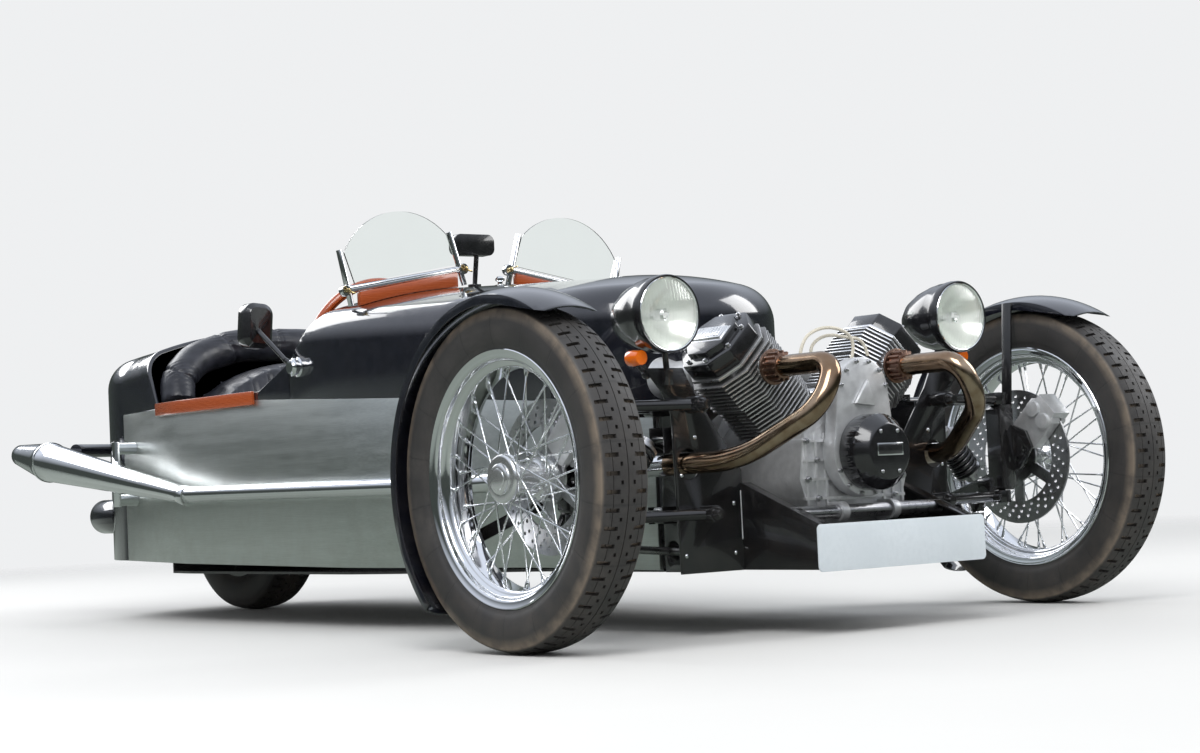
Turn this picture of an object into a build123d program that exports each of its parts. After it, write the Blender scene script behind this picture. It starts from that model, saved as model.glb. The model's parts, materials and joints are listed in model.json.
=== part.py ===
"""Cyclecar: a two-seat three-wheeler with an air-cooled V-twin in front of its front axle line.

All sizes are millimetres. Heights are from the floor. Places along the car are stations,
measured back from the front axle. The car faces -Y and its own right side is -X, so a piece of
the right side is modelled at negative X and its partner is its mirror image.
"""
from build123d import *
import os
from math import atan2, cos, radians, sin, sqrt

# Running gear
WHEELBASE = 2330.0
FRONT_TRACK = 1424.0
FRONT_TYRE_R = 328.0
FRONT_TYRE_HALF = 56.0
REAR_TYRE_R = 300.0
REAR_TYRE_HALF = 64.0
RIM_SEAT_R = 228.6
RIM_LIP = 14.0
RIM_HALF = 45.0
RIM_WALL = 4.0
RIM_WELL = 16.0
REAR_RIM_SEAT_R = 190.5
REAR_RIM_HALF = 58.0
SEAT_GAP = 0.3
RUNNING_GAP = 0.3

# Wire wheel
SPOKES_A_SIDE = 20
SPOKE_R = 2.0
SPOKE_LEAN = 54.0
SPOKE_SPREAD = 3.0
HUB_FLANGE_R = 46.0
HUB_FLANGE_HALF = 34.0
HUB_FLANGE_THICK = 5.0
HUB_BARREL_R = 29.0
HUB_CAP_R = 42.0
HUB_CAP_OUT = 56.0
AXLE_R = 14.0
DISC_R = 148.5
DISC_BAND = 48.0
DISC_THICK = 5.0
DISC_INBOARD = 67.0
DISC_SPOKES = 6
CALIPER_ANGLE = 47.0

# Uprights, steering and suspension
KINGPIN_INSET = 122.0
KINGPIN_X = FRONT_TRACK / 2 - KINGPIN_INSET
UPRIGHT_WIDTH = 44.0
UPRIGHT_IN = KINGPIN_X - 18.0
UPRIGHT_OUT = UPRIGHT_IN + UPRIGHT_WIDTH
UPRIGHT_HALF_Y = 20.0
UPRIGHT_HEIGHT = 188.0
BRACKET_THICK = 8.0
PISTON_R = 17.0
UPRIGHT_LOW = FRONT_TYRE_R - 72.0
UPRIGHT_HIGH = UPRIGHT_LOW + UPRIGHT_HEIGHT
KINGPIN_R = 8.0
BALL_BOSS_R = 19.0
BALL_BOSS_H = 26.0
NOSE_BOX_HALF = 296.0
UPPER_PIVOT = (NOSE_BOX_HALF + 45.0, -76.0, 456.0)
LOWER_PIVOT = (NOSE_BOX_HALF + 23.0, -78.0, 242.0)
UPPER_REAR_PIVOT_Y = 62.0
LOWER_REAR_PIVOT_Y = 72.0
WISHBONE_TUBE_R = 11.0
BUSH_R = 17.0
BUSH_HALF = 20.0
PIVOT_BOLT_R = 6.0
COIL_LOW = (KINGPIN_X - 50.0, 0.0, UPRIGHT_LOW + 20.0)
COIL_HIGH = (NOSE_BOX_HALF + 76.0, 0.0, 391.0)
SPRING_R = 30.0
SPRING_TURNS = 8
DAMPER_R = 19.0
STEER_ARM_Y = 70.0
STEER_ARM_X = KINGPIN_X - 6.0
STEER_ARM_Z = FRONT_TYRE_R - 132.0
RACK_Z = 164.0
RACK_R = 18.0
RACK_HALF = NOSE_BOX_HALF - 64.0
RACK_BAR_END = RACK_HALF + 20.0
RACK_BAR_R = 9.0
TIE_ROD_R = 8.0
TIE_ROD_ROOM = 14.0
COCKPIT_FRONT = 1200.0
DASH_Y = COCKPIT_FRONT - 28.0
STEERING_WHEEL = (-215.0, DASH_Y + 150.0, 672.0)
STEERING_WHEEL_R = 178.0
STEERING_RIM_R = 12.0
COLUMN_TILT = 22.0
COLUMN_R = 14.0
COLUMN_LENGTH = 420.0

# Cycle mudguards
GUARD_GAP = 24.0
GUARD_R = FRONT_TYRE_R + GUARD_GAP
GUARD_CROWN = 8.0
GUARD_HALF = 72.0
GUARD_LIP = 26.0
GUARD_WALL = 3.0
GUARD_FRONT_ANGLE = 31.0
GUARD_REAR_ANGLE = 136.0
STAY_WIDTH = 26.0
STAY_THICK = 4.0
GUARD_LIP_LINE = [(-260.0, 627.0), (-181.0, 627.0), (-45.0, 651.0)]

# Body: (station, plan half width), then (station, height) of the seam, crown and shoulder
FRAME_LOW = 127.0
TAIL_Y = WHEELBASE + 11.0
TAPER_Y = WHEELBASE - 430.0
NOSE_Y = 516.0
NOSE_R = 300.0
BODY_PLAN = [(NOSE_Y, NOSE_R), (600.0, 318.0), (800.0, 374.0), (950.0, 412.0), (1100.0, 438.0),
             (COCKPIT_FRONT, 440.0), (TAPER_Y, 440.0), (TAIL_Y, 390.0)]
SEAM = [(60.0, 462.0), (305.0, 480.0), (894.0, 526.0), (1498.0, 556.0), (WHEELBASE - 261.0, 563.0),
        (TAIL_Y, 560.0)]
CROWN = [(NOSE_Y, 771.0), (800.0, 786.0), (COCKPIT_FRONT, 810.0), (TAPER_Y, 806.0), (TAIL_Y, 772.0)]
SHOULDER = [(NOSE_Y, 716.0), (800.0, 722.0), (COCKPIT_FRONT, 734.0), (TAPER_Y, 726.0), (TAIL_Y, 696.0)]
SHOULDER_ROUND = 88.0
SHELL_WALL = 10.0
PANEL_WALL = 10.0
BODY_LOW_REAR = 152.0
BONNET_END = 700.0
SCUTTLE_END = 1330.0
PANEL_START = 112.0
SHUT_LINE = 2.0
TAIL_LOW = 159.0
COCKPIT_SILL = 576.0
COCKPIT_SILL_START = COCKPIT_FRONT + 280.0
COCKPIT_SILL_END = WHEELBASE - 255.0
COCKPIT_REAR = WHEELBASE - 125.0
FLOOR_THICK = 6.0
WHEEL_WALL_GAP = 8.0
WHEEL_WALL_THICK = 6.0
WHEEL_WALL_Y = WHEELBASE - REAR_TYRE_R - WHEEL_WALL_GAP - WHEEL_WALL_THICK
FLOOR_END = WHEEL_WALL_Y - 31.0
TRIM_START = COCKPIT_SILL_START + 20.0
TRIM_END = COCKPIT_SILL_END - 9.0
TRIM_HEIGHT = 34.0
TRIM_THICK = 9.0
DASH_THICK = 14.0
COAMING_R = 52.0
SEAT_HALF = 385.0
SQUAB_HALF = 300.0
SQUAB_SIDE = 596.0
SQUAB_TOP = 684.0
SEAT_DEPTH = 516.0
SHAFT_TUNNEL = 34.0

# Engine
CRANK_Z = 349.0
V_HALF_ANGLE = 45.0
CYLINDER_Y = -20.0
DECK_S = 118.0
DECK_REACH = 73.5
HEAD_S = 214.0
COVER_S = 300.0
COVER_TOP_S = 352.0
FIN_HALF = 85.0
FIN_CHAMFER = 42.0
FIN_PITCH = 9.4
FIN_THICK = 3.0
BARREL_FIN_HALF = 80.0
BARREL_CORE_R = 56.0
HEAD_CORE_HALF = 58.0
CASE_FRONT = -150.0
CASE_REAR = 104.0
CASE_RIB = 5.0
BELL_END = 240.0
TIMING_FRONT = -190.0
ALTERNATOR_FRONT = -257.0
ALTERNATOR_R = 76.0
TIMING_R = 88.0
TIMING_TOP_R = 70.0
TIMING_RISE = 121.0
SUMP_HALF = 92.0
SUMP_LOW = 150.0
PORT_S = 240.4
PORT_X, PORT_RISE = PORT_S * sin(radians(V_HALF_ANGLE)), PORT_S * cos(radians(V_HALF_ANGLE)) + 7.0
PORT = (PORT_X, CYLINDER_Y - 92.0, CRANK_Z + PORT_RISE)

# Exhaust, on the car's left side; the right is its mirror image
HEADER_R = 21.0
NUT_R = 31.0
NUT_LENGTH = 34.0
NUT_FIN_PAIRS = 7
HEADER_CORNERS = [(PORT[0], -292.0, PORT[2]), (216.0, -300.0, 438.0), (292.0, -140.0, 344.0),
                  (344.0, -30.0, 342.0), (478.0, 490.0, 322.0)]
HEADER_BENDS = [44.0, 70.0, 60.0, 90.0, 300.0]
SIDE_PIPE_END = (500.0, WHEELBASE - 549.0, 331.0)
SILENCER_TIP = (500.0, WHEELBASE + 474.0, 472.0)
SILENCER_R = 57.0
SILENCER_TAIL_R = 21.0
SILENCER_WIDEST = 0.78
BOBBIN_R = 16.0
SILENCER_STAY_Y = WHEELBASE - 80.0

# Front frame
BULKHEAD_Y = -40.0
PLATE = 5.0
EAR_THICK = 4.0
CRADLE_HALF = 206.0
CRADLE_FRONT = -272.0
CRADLE_TOP_REAR = 300.0
CRADLE_TOP_FRONT = 214.0
FIREWALL_Y = 92.0
NOSE_BOX_TOP = SEAM[0][1] - 7.0
RAIL_HEIGHT = 50.0
ENGINE_WINDOW_R = 178.0
REAR_PIVOT = (WHEELBASE - 283.0, 262.0)
MOUNT_TUBE = (CASE_FRONT - 30.0, 234.0)
MOUNT_TUBE_R = 14.0
RAIL_X = 215.0
RAIL_WIDTH = 40.0

# Lamps, screens and small pieces
LAMP = (402.0, -81.0, 633.0)
LAMP_R = 75.0
LAMP_GLASS_R = LAMP_R - 4.0
LAMP_STEM = 28.0
LAMP_LENGTH = 165.0
LAMP_WALL = 4.0
LAMP_BODY = [(22.0, 1.0), (60.0, 0.95), (95.0, 0.82), (125.0, 0.63), (150.0, 0.36), (LAMP_LENGTH, 0.1)]
PLATE_TOP = LAMP[2] - LAMP_R - LAMP_STEM
INDICATOR = (LAMP[0] + 43.0, BULKHEAD_Y + 13.0, PLATE_TOP + 21.0)
INDICATOR_R = 16.0
PLATE_LENGTH = 456.0
PLATE_HEIGHT = 91.0
PLATE_CENTRE = (0.0, CRADLE_FRONT - 10.0, 169.0)
SCREEN_Y = COCKPIT_FRONT - 85.0
SCREEN_POST = 14.0
SCREEN_BASE = [(56.0, 846.0), (382.0, 793.0)]
SCREEN_FOOT = [(57.0, 809.0), (391.0, 755.0)]
SCREEN_TOP = [(103.0, 937.0), (415.0, 886.0)]
SCREEN_ARCH = (236.0, 983.0)
GLASS_THICK = 5.0
SIDE_MIRROR_Y = COCKPIT_FRONT + 77.0
CENTRE_MIRROR_Y = COCKPIT_FRONT - 35.0
SIDE_MIRROR = (80.0, 42.0, 111.0)
CENTRE_MIRROR = (116.0, 30.0, 52.0)
REAR_LAMP = (320.0, WHEELBASE + 310.0, 281.0)
REAR_LAMP_R = 48.0
BUMPER_END = (390.0, WHEELBASE + 325.0, 474.0)
BUMPER_REAR = WHEELBASE + 440.0
BUMPER_STAY_X = 150.0
BUMPER_R = 19.0

# The origin lies on the floor, midway between the foremost tyre and the silencers' tips
ORIGIN_Y = (SILENCER_TIP[1] - FRONT_TYRE_R) / 2


def between(table, station):
    """Value at a station of a table of (station, value) rows, straight between its rows."""
    if station <= table[0][0]:
        return table[0][1]
    for (y0, v0), (y1, v1) in zip(table, table[1:]):
        if station <= y1:
            return v0 + (v1 - v0) * (station - y0) / (y1 - y0)
    return table[-1][1]


def block(x0, x1, y0, y1, z0, z1):
    """Rectangular block between two corners."""
    return Pos((x0 + x1) / 2, (y0 + y1) / 2, (z0 + z1) / 2) * Box(abs(x1 - x0), abs(y1 - y0), abs(z1 - z0))


def rod(start, end, radius, end_radius=None):
    """Round bar, or a cone, between two points."""
    start, end = Vector(*start), Vector(*end)
    length = (end - start).length
    place = Plane(origin=start, z_dir=end - start)
    foot = (Align.CENTER, Align.CENTER, Align.MIN)
    if end_radius is None:
        return place * Cylinder(radius, length, align=foot)
    return place * Cone(radius, end_radius, length, align=foot)


def six_sided_rod(start, end, radius):
    """Thin bar between two points, with six sides."""
    start, end = Vector(*start), Vector(*end)
    place = Plane(origin=start, z_dir=end - start)
    return extrude(place * RegularPolygon(radius, 6), amount=(end - start).length)


def bent_pipe(points, bends, radius):
    """Round pipe of straight runs joined by tangent arcs."""
    path = FilletPolyline(*points, radius=bends)
    start = Plane(origin=points[0], z_dir=Vector(*points[1]) - Vector(*points[0]))
    return sweep(start * Circle(radius), path=path)


def turned(profile):
    """Solid of revolution about the X axis, from a face of (axial, radial) points."""
    return revolve(profile, axis=Axis.X)


def side_cut(points, half=900.0):
    """Prism across the car from a side profile of (station, height) points."""
    face = Plane.YZ * make_face(Polyline(*points, close=True))
    return extrude(face, amount=half, both=True)


def front_prism(points, y0, y1):
    """Prism along the car from a front profile of (x, height) points."""
    face = Plane.XZ.offset(-y0) * make_face(Polyline(*points, close=True))
    return extrude(face, amount=-(y1 - y0))


def mirrored(shape):
    """Partner of a piece on the other side of the car."""
    return mirror(shape, about=Plane.YZ)


def pair(shape):
    """A piece of the left side together with its partner."""
    return [shape, mirrored(shape)]


def write(name, shape):
    """Write one sub-part, moved from stations to the part's own origin."""
    solids = []
    for piece in shape if isinstance(shape, (list, tuple)) else [shape]:
        solids.extend(piece.solids())
    moved = [Pos(0, -ORIGIN_Y, 0) * solid for solid in solids]
    result = moved[0] if len(moved) == 1 else Compound(children=moved)
    export_step(result, f"parts/{name}.step")


# Wheels, about the X axis with the outboard side at +X

def tyre(radius, half, seat_r, rim_half):
    """Tyre on its bead seat, with few facets: a bead, two wall facets, a shoulder and the tread."""
    bead = rim_half - RIM_WALL - SEAT_GAP
    wall = radius - seat_r
    right = [(bead, seat_r + SEAT_GAP), (bead, seat_r + RIM_LIP + 2), (half, seat_r + 0.52 * wall),
             (half * 0.88, radius - 0.17 * wall), (half * 0.52, radius)]
    left = [(-a, r) for a, r in reversed(right)]
    return turned(make_face(Polyline(*right, *left, close=True)))


def rim(seat_r, half):
    """Well-base rim, turned from one section of even wall."""
    lip, well = seat_r + RIM_LIP, seat_r - RIM_WELL
    under, inner = seat_r - RIM_WALL - 1, half - RIM_WALL
    right = [(half, lip), (half, under), (half * 0.56, under), (half * 0.44, well - RIM_WALL)]
    top = [(half * 0.40, well), (half * 0.52, seat_r), (inner, seat_r), (inner, lip)]
    left = [(-a, r) for a, r in reversed(right)]
    left_top = [(-a, r) for a, r in reversed(top)]
    return turned(make_face(Polyline(*right, *left, *left_top, *top, close=True)))


def spoke_ends():
    """Hub and rim ends of every spoke: each flange has spokes leaning both ways."""
    pitch = 360 / SPOKES_A_SIDE
    rim_r = RIM_SEAT_R - RIM_WELL - RIM_WALL / 2
    hub_r = HUB_FLANGE_R - SPOKE_R - 3
    for side in (-1, 1):
        for index in range(SPOKES_A_SIDE):
            lean = 1 if index % 2 else -1
            at_hub = radians(index * pitch + side * pitch / 4)
            at_rim = at_hub + radians(lean * SPOKE_LEAN)
            hub_x = side * HUB_FLANGE_HALF + lean * SPOKE_SPREAD
            rim_x = side * SPOKE_SPREAD * 2.6 + lean * SPOKE_SPREAD * 0.8
            yield ((hub_x, hub_r * cos(at_hub), hub_r * sin(at_hub)),
                   (rim_x, rim_r * cos(at_rim), rim_r * sin(at_rim)))


def hub():
    """Hub with two spoke flanges, a domed cap outboard and the disc's seat inboard."""
    flange_in = HUB_FLANGE_HALF - HUB_FLANGE_THICK / 2
    flange_out = HUB_FLANGE_HALF + HUB_FLANGE_THICK / 2
    seat = DISC_INBOARD - DISC_THICK
    bore = AXLE_R + RUNNING_GAP
    spigot = HUB_BARREL_R + 2
    outline = Polyline((-DISC_INBOARD, bore), (-DISC_INBOARD, spigot), (-seat, spigot),
                       (-seat, HUB_FLANGE_R), (-seat + 6, HUB_FLANGE_R), (-flange_out, HUB_BARREL_R + 6),
                       (-flange_out, HUB_FLANGE_R), (-flange_in, HUB_FLANGE_R), (-flange_in, HUB_BARREL_R),
                       (flange_in, HUB_BARREL_R), (flange_in, HUB_FLANGE_R), (flange_out, HUB_FLANGE_R),
                       (flange_out, HUB_CAP_R), (HUB_CAP_OUT - 8, HUB_CAP_R))
    outline += ThreePointArc((HUB_CAP_OUT - 8, HUB_CAP_R), (HUB_CAP_OUT - 2, HUB_CAP_R * 0.8),
                             (HUB_CAP_OUT, HUB_CAP_R * 0.5))
    outline += Polyline((HUB_CAP_OUT, HUB_CAP_R * 0.5), (HUB_CAP_OUT, 0), (flange_in, 0),
                        (flange_in, bore), (-DISC_INBOARD, bore))
    return turned(make_face(outline))


def wire_wheel():
    """Rim, hub and crossed spokes, joined into one wheel."""
    spokes = [six_sided_rod(start, end, SPOKE_R) for start, end in spoke_ends()]
    return hub().fuse(rim(RIM_SEAT_R, RIM_HALF), *spokes)


def brake_disc():
    """Brake disc with an open carrier, on the hub's inboard seat."""
    x = -DISC_INBOARD
    outer = Circle(DISC_R) - Circle(HUB_BARREL_R + 2 + SEAT_GAP)
    slot_in, slot_out = HUB_FLANGE_R + 8, DISC_R - DISC_BAND
    slot = Circle(slot_out) - Circle(slot_in)
    for index in range(DISC_SPOKES):
        slot -= Rot(0, 0, index * 360 / DISC_SPOKES) * Pos(slot_out, 0) * Rectangle(2 * slot_out, 26)
    half_disc = outer - slot
    return Plane(origin=(x, 0, 0), z_dir=(1, 0, 0)) * extrude(half_disc, amount=DISC_THICK)


def rear_wheel():
    """Pressed steel rear wheel: its own rim, a dished disc and a hub."""
    well = REAR_RIM_SEAT_R - RIM_WELL - RIM_WALL / 2
    dish = Polyline((-46, AXLE_R + RUNNING_GAP), (-46, 40), (-8, 40), (-8, 90), (14, 120), (6, well),
                    (12, well), (20, 116), (0, 84), (0, 40), (46, 40), (46, AXLE_R + RUNNING_GAP), close=True)
    return turned(make_face(dish)).fuse(rim(REAR_RIM_SEAT_R, REAR_RIM_HALF))


def at_front_wheel(shape):
    """Move a wheel piece to the left front hub."""
    return Pos(FRONT_TRACK / 2, 0, FRONT_TYRE_R) * shape


def at_rear_wheel(shape):
    """Move a wheel piece to the rear hub."""
    return Pos(0, WHEELBASE, REAR_TYRE_R) * shape


# Left upright, with its stub axle, steering arm and the mudguard's stays

def upright():
    """Box-section upright, its kingpin ends, stub axle and steering arm."""
    web = block(UPRIGHT_IN, UPRIGHT_OUT, -UPRIGHT_HALF_Y, UPRIGHT_HALF_Y, UPRIGHT_LOW, UPRIGHT_HIGH)
    web = chamfer(web.edges().filter_by(Axis.Y), 9)
    pins = rod((KINGPIN_X, 0, UPRIGHT_LOW - BALL_BOSS_H - 2), (KINGPIN_X, 0, UPRIGHT_HIGH + BALL_BOSS_H + 2),
               KINGPIN_R)
    wheel_x = FRONT_TRACK / 2
    stub = rod((UPRIGHT_OUT - 10, 0, FRONT_TYRE_R), (wheel_x + HUB_FLANGE_HALF - 8, 0, FRONT_TYRE_R), AXLE_R)
    shoulder = rod((UPRIGHT_OUT - 10, 0, FRONT_TYRE_R), (wheel_x - DISC_INBOARD - 1.5, 0, FRONT_TYRE_R), 24)
    arm_end = (STEER_ARM_X, STEER_ARM_Y, STEER_ARM_Z + 22)
    arm = rod((KINGPIN_X, UPRIGHT_HALF_Y - 7, UPRIGHT_LOW + 23), arm_end, 9)
    eye = rod((STEER_ARM_X, STEER_ARM_Y, STEER_ARM_Z + 14), (STEER_ARM_X, STEER_ARM_Y, STEER_ARM_Z + 32), 15)
    return web.fuse(pins, stub, shoulder, arm, eye, caliper_bracket(), front_stay(), rear_stay())


def caliper_bracket():
    """Drilled plate on the upright's outboard face that carries the caliper."""
    points = [(-18, -32), (-18, 72), (-60, 56), (-76, 20), (-40, -26)]
    outline = Polyline(*[(y, FRONT_TYRE_R + z) for y, z in points], close=True)
    plate = extrude(Plane.YZ.offset(UPRIGHT_OUT - BRACKET_THICK) * make_face(outline), amount=BRACKET_THICK)
    for y, z in ((-32, -8), (-54, 12)):
        hole = rod((UPRIGHT_OUT - 20, y, FRONT_TYRE_R + z), (UPRIGHT_OUT + 20, y, FRONT_TYRE_R + z), 7)
        plate = plate.cut(hole)
    return plate


def guard_edge(angle):
    """Place on the mudguard's inboard edge, at an angle back from the top of the wheel."""
    radius = GUARD_R - GUARD_LIP + 4
    x = FRONT_TRACK / 2 - GUARD_HALF
    return x, radius * sin(radians(angle)), FRONT_TYRE_R + radius * cos(radians(angle))


def stay(angle, foot_y, foot_z):
    """Flat strap from the upright's outboard face out to the mudguard's inboard edge."""
    x, y, z = guard_edge(angle)
    foot = Vector(UPRIGHT_OUT + STAY_THICK / 2 - 1, foot_y, foot_z)
    head = Vector(x - STAY_THICK / 2 - 5 * SEAT_GAP, y, z)
    run = head - foot
    place = Plane(origin=(foot + head) / 2, x_dir=run, z_dir=Vector(1, 0, 0).cross(run).cross(run) * -1)
    return place * Box(run.length + STAY_WIDTH, STAY_WIDTH, STAY_THICK)


def front_stay():
    """Upright strap that carries the top of the mudguard."""
    return stay(0, 0, UPRIGHT_HIGH - 40)


def rear_stay():
    """Strap that runs back to the tail of the mudguard."""
    return stay(112, 8, UPRIGHT_LOW + 40)


def caliper():
    """Brake caliper astride the disc, ahead of and above the stub axle, on its bracket."""
    disc_x = FRONT_TRACK / 2 - DISC_INBOARD
    gap = DISC_THICK / 2 + 2.5
    mid = disc_x + DISC_THICK / 2
    reach = 44
    inboard = block(UPRIGHT_OUT + SEAT_GAP, mid - gap, -62, 30, -40, 40)
    outboard = block(mid + gap, mid + gap + 14, -62, 30, -34, 34)
    bridge = block(UPRIGHT_OUT + SEAT_GAP, mid + gap + 14, 28, reach, -30, 30)
    halves = [chamfer(half.edges().filter_by(Axis.X), 8) for half in (inboard, outboard)]
    face = UPRIGHT_OUT - BRACKET_THICK
    pistons = [rod((face, 10, z), (UPRIGHT_OUT + 2, 10, z), PISTON_R) for z in (-PISTON_R - 2, PISTON_R + 2)]
    body = Rot(90, 0, 0) * halves[0].fuse(halves[1], bridge, *pistons)
    return Pos(0, 0, FRONT_TYRE_R) * Rot(CALIPER_ANGLE, 0, 0) * Pos(0, 0, DISC_R - 28) * body


def mudguard():
    """Cycle mudguard: a crowned section turned about the axle, open under the tyre."""
    half, inner = GUARD_HALF, GUARD_HALF - GUARD_WALL
    low, edge, top = GUARD_R - GUARD_LIP, GUARD_R - 8, GUARD_R + GUARD_CROWN
    inner_edge, inner_top = edge - GUARD_WALL, top - GUARD_WALL
    outer = Polyline((-half, low), (-half, edge))
    outer += ThreePointArc((-half, edge), (0, top), (half, edge))
    outer += Polyline((half, edge), (half, low), (inner, low), (inner, inner_edge))
    outer += ThreePointArc((inner, inner_edge), (0, inner_top), (-inner, inner_edge))
    outer += Polyline((-inner, inner_edge), (-inner, low), (-half, low))
    section = make_face(outer)
    standing = Rot(90 + GUARD_FRONT_ANGLE, 0, 0) * section
    swept = revolve(standing, axis=Axis.X, revolution_arc=-(GUARD_FRONT_ANGLE + GUARD_REAR_ANGLE))
    lip_cut = side_cut([(GUARD_LIP_LINE[0][0], 500), *GUARD_LIP_LINE, (GUARD_LIP_LINE[-1][0], 500)])
    return at_front_wheel(swept).cut(lip_cut)


# Suspension on the left side

def wishbone(pivot, rear_y, ball_z, boss_low):
    """A-arm of two tubes from its pivot bushes to the boss round the kingpin."""
    x, front_y, z = pivot
    boss = rod((KINGPIN_X, 0, boss_low), (KINGPIN_X, 0, boss_low + BALL_BOSS_H), BALL_BOSS_R)
    shape = boss
    for y in (front_y, rear_y):
        bush = rod((x, y - BUSH_HALF, z), (x, y + BUSH_HALF, z), BUSH_R)
        shape = shape.fuse(bush, rod((x, y, z), (KINGPIN_X - 8, 0, ball_z), WISHBONE_TUBE_R))
    bore = rod((KINGPIN_X, 0, boss_low - 60), (KINGPIN_X, 0, boss_low + 90), KINGPIN_R + RUNNING_GAP)
    for y in (front_y, rear_y):
        shape = shape.cut(rod((x, y - BUSH_HALF - 1, z), (x, y + BUSH_HALF + 1, z), PIVOT_BOLT_R + SEAT_GAP))
    return shape.cut(bore)


def upper_wishbone():
    """Upper A-arm."""
    low = UPRIGHT_HIGH + 1
    return wishbone(UPPER_PIVOT, UPPER_REAR_PIVOT_Y, low + BALL_BOSS_H / 2, low)


def lower_wishbone():
    """Lower A-arm with the coil-over's foot bracket."""
    low = UPRIGHT_LOW - 1 - BALL_BOSS_H
    arm = wishbone(LOWER_PIVOT, LOWER_REAR_PIVOT_Y, low + BALL_BOSS_H / 2, low)
    x, y, z = COIL_LOW
    foot = rod((x, y - 17, z - 2), (x, y + 17, z - 2), 10)
    post = block(x - 8, x + 8, y - 17, y + 17, low + BALL_BOSS_H / 2 - 6, z - 2)
    link = rod((x, -40, low + 12), (x, 40, low + 12), 7)
    return arm.fuse(foot, post, link)


def coil_over():
    """Damper and coil spring, turned as one with the spring's turns as ridges."""
    low, high = Vector(*COIL_LOW), Vector(*COIL_HIGH)
    axis = high - low
    length = axis.length
    start, end = 0.2 * length, 0.84 * length
    step = (end - start) / SPRING_TURNS
    points = [(12.0, 0), (12.0, 14.0), (start, 14.0), (start, SPRING_R)]
    for turn in range(SPRING_TURNS):
        at = start + turn * step
        points += [(at + 0.45 * step, SPRING_R), (at + 0.6 * step, DAMPER_R + 2)]
        points += [(at + 0.85 * step, DAMPER_R + 2), (at + step, SPRING_R)]
    points += [(end + 8, SPRING_R), (end + 8, DAMPER_R), (length - 12, DAMPER_R), (length - 12, 0)]
    body = turned(make_face(Polyline(*points, close=True)))
    return Plane(origin=low, x_dir=axis, z_dir=axis.cross(Vector(0, 1, 0))) * body


# Front frame

def bulkhead_plate():
    """Left half of the front bulkhead, with its V edge for the cylinder and the header's hole."""
    outline = [(CRADLE_HALF, FRAME_LOW), (CRADLE_HALF, 326), (232, 360), (320, 483), (345, PLATE_TOP),
               (440, PLATE_TOP), (400, 485), (378, 440), (370, FRAME_LOW)]
    plate = front_prism(outline, BULKHEAD_Y - PLATE, BULKHEAD_Y)
    here = between([(p[1], p[0]) for p in HEADER_CORNERS[2:]], BULKHEAD_Y)
    height = between([(p[1], p[2]) for p in HEADER_CORNERS[2:]], BULKHEAD_Y)
    return plate.cut(rod((here, BULKHEAD_Y - 30, height), (here, BULKHEAD_Y + 30, height), HEADER_R + 9))


def cradle_plate():
    """Left engine cradle plate, with a lip turned out along its sloping top edge."""
    rear = BULKHEAD_Y - PLATE
    side = [(CRADLE_FRONT, FRAME_LOW), (CRADLE_FRONT, CRADLE_TOP_FRONT),
            (rear, CRADLE_TOP_REAR), (rear, FRAME_LOW)]
    face = Plane.YZ.offset(CRADLE_HALF) * make_face(Polyline(*side, close=True))
    plate = extrude(face, amount=PLATE)
    lip_side = [(CRADLE_FRONT, CRADLE_TOP_FRONT - PLATE), (CRADLE_FRONT, CRADLE_TOP_FRONT),
                (rear, CRADLE_TOP_REAR), (rear, CRADLE_TOP_REAR - PLATE)]
    lip_face = Plane.YZ.offset(CRADLE_HALF - 22) * make_face(Polyline(*lip_side, close=True))
    return plate.fuse(extrude(lip_face, amount=22 + PLATE))


def pivot_bracket(pivot, y):
    """Pair of ears that hold one wishbone bush out from the nose box."""
    x, _, z = pivot
    ears = []
    for side in (-1, 1):
        near = y + side * (BUSH_HALF + SEAT_GAP)
        far = near + side * EAR_THICK
        ears.append(block(NOSE_BOX_HALF - 2, x + BUSH_R, near, far, z - BUSH_R, z + BUSH_R))
    bolt = rod((x, y - BUSH_HALF - 12, z), (x, y + BUSH_HALF + 12, z), PIVOT_BOLT_R)
    return ears[0].fuse(ears[1], bolt)


def nose_deck():
    """Sheet below the bonnet's edge, from the firewall to the round nose, open over the bell housing."""
    half = NOSE_R - PANEL_WALL - SEAT_GAP
    top = [(y, between(SEAM, y) - SEAT_GAP) for y in (FIREWALL_Y, SEAM[1][0], NOSE_Y)]
    sheet = side_cut([*top, *[(y, z - PLATE) for y, z in reversed(top)]], half)
    flange = block(-half, half, FIREWALL_Y, FIREWALL_Y + PLATE, NOSE_BOX_TOP - 2, top[0][1] - 1)
    tunnel = block(-ENGINE_WINDOW_R, ENGINE_WINDOW_R, FIREWALL_Y - 9, BELL_END - 35, NOSE_BOX_TOP - 55, 600)
    return sheet.fuse(flange).cut(tunnel)


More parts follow.
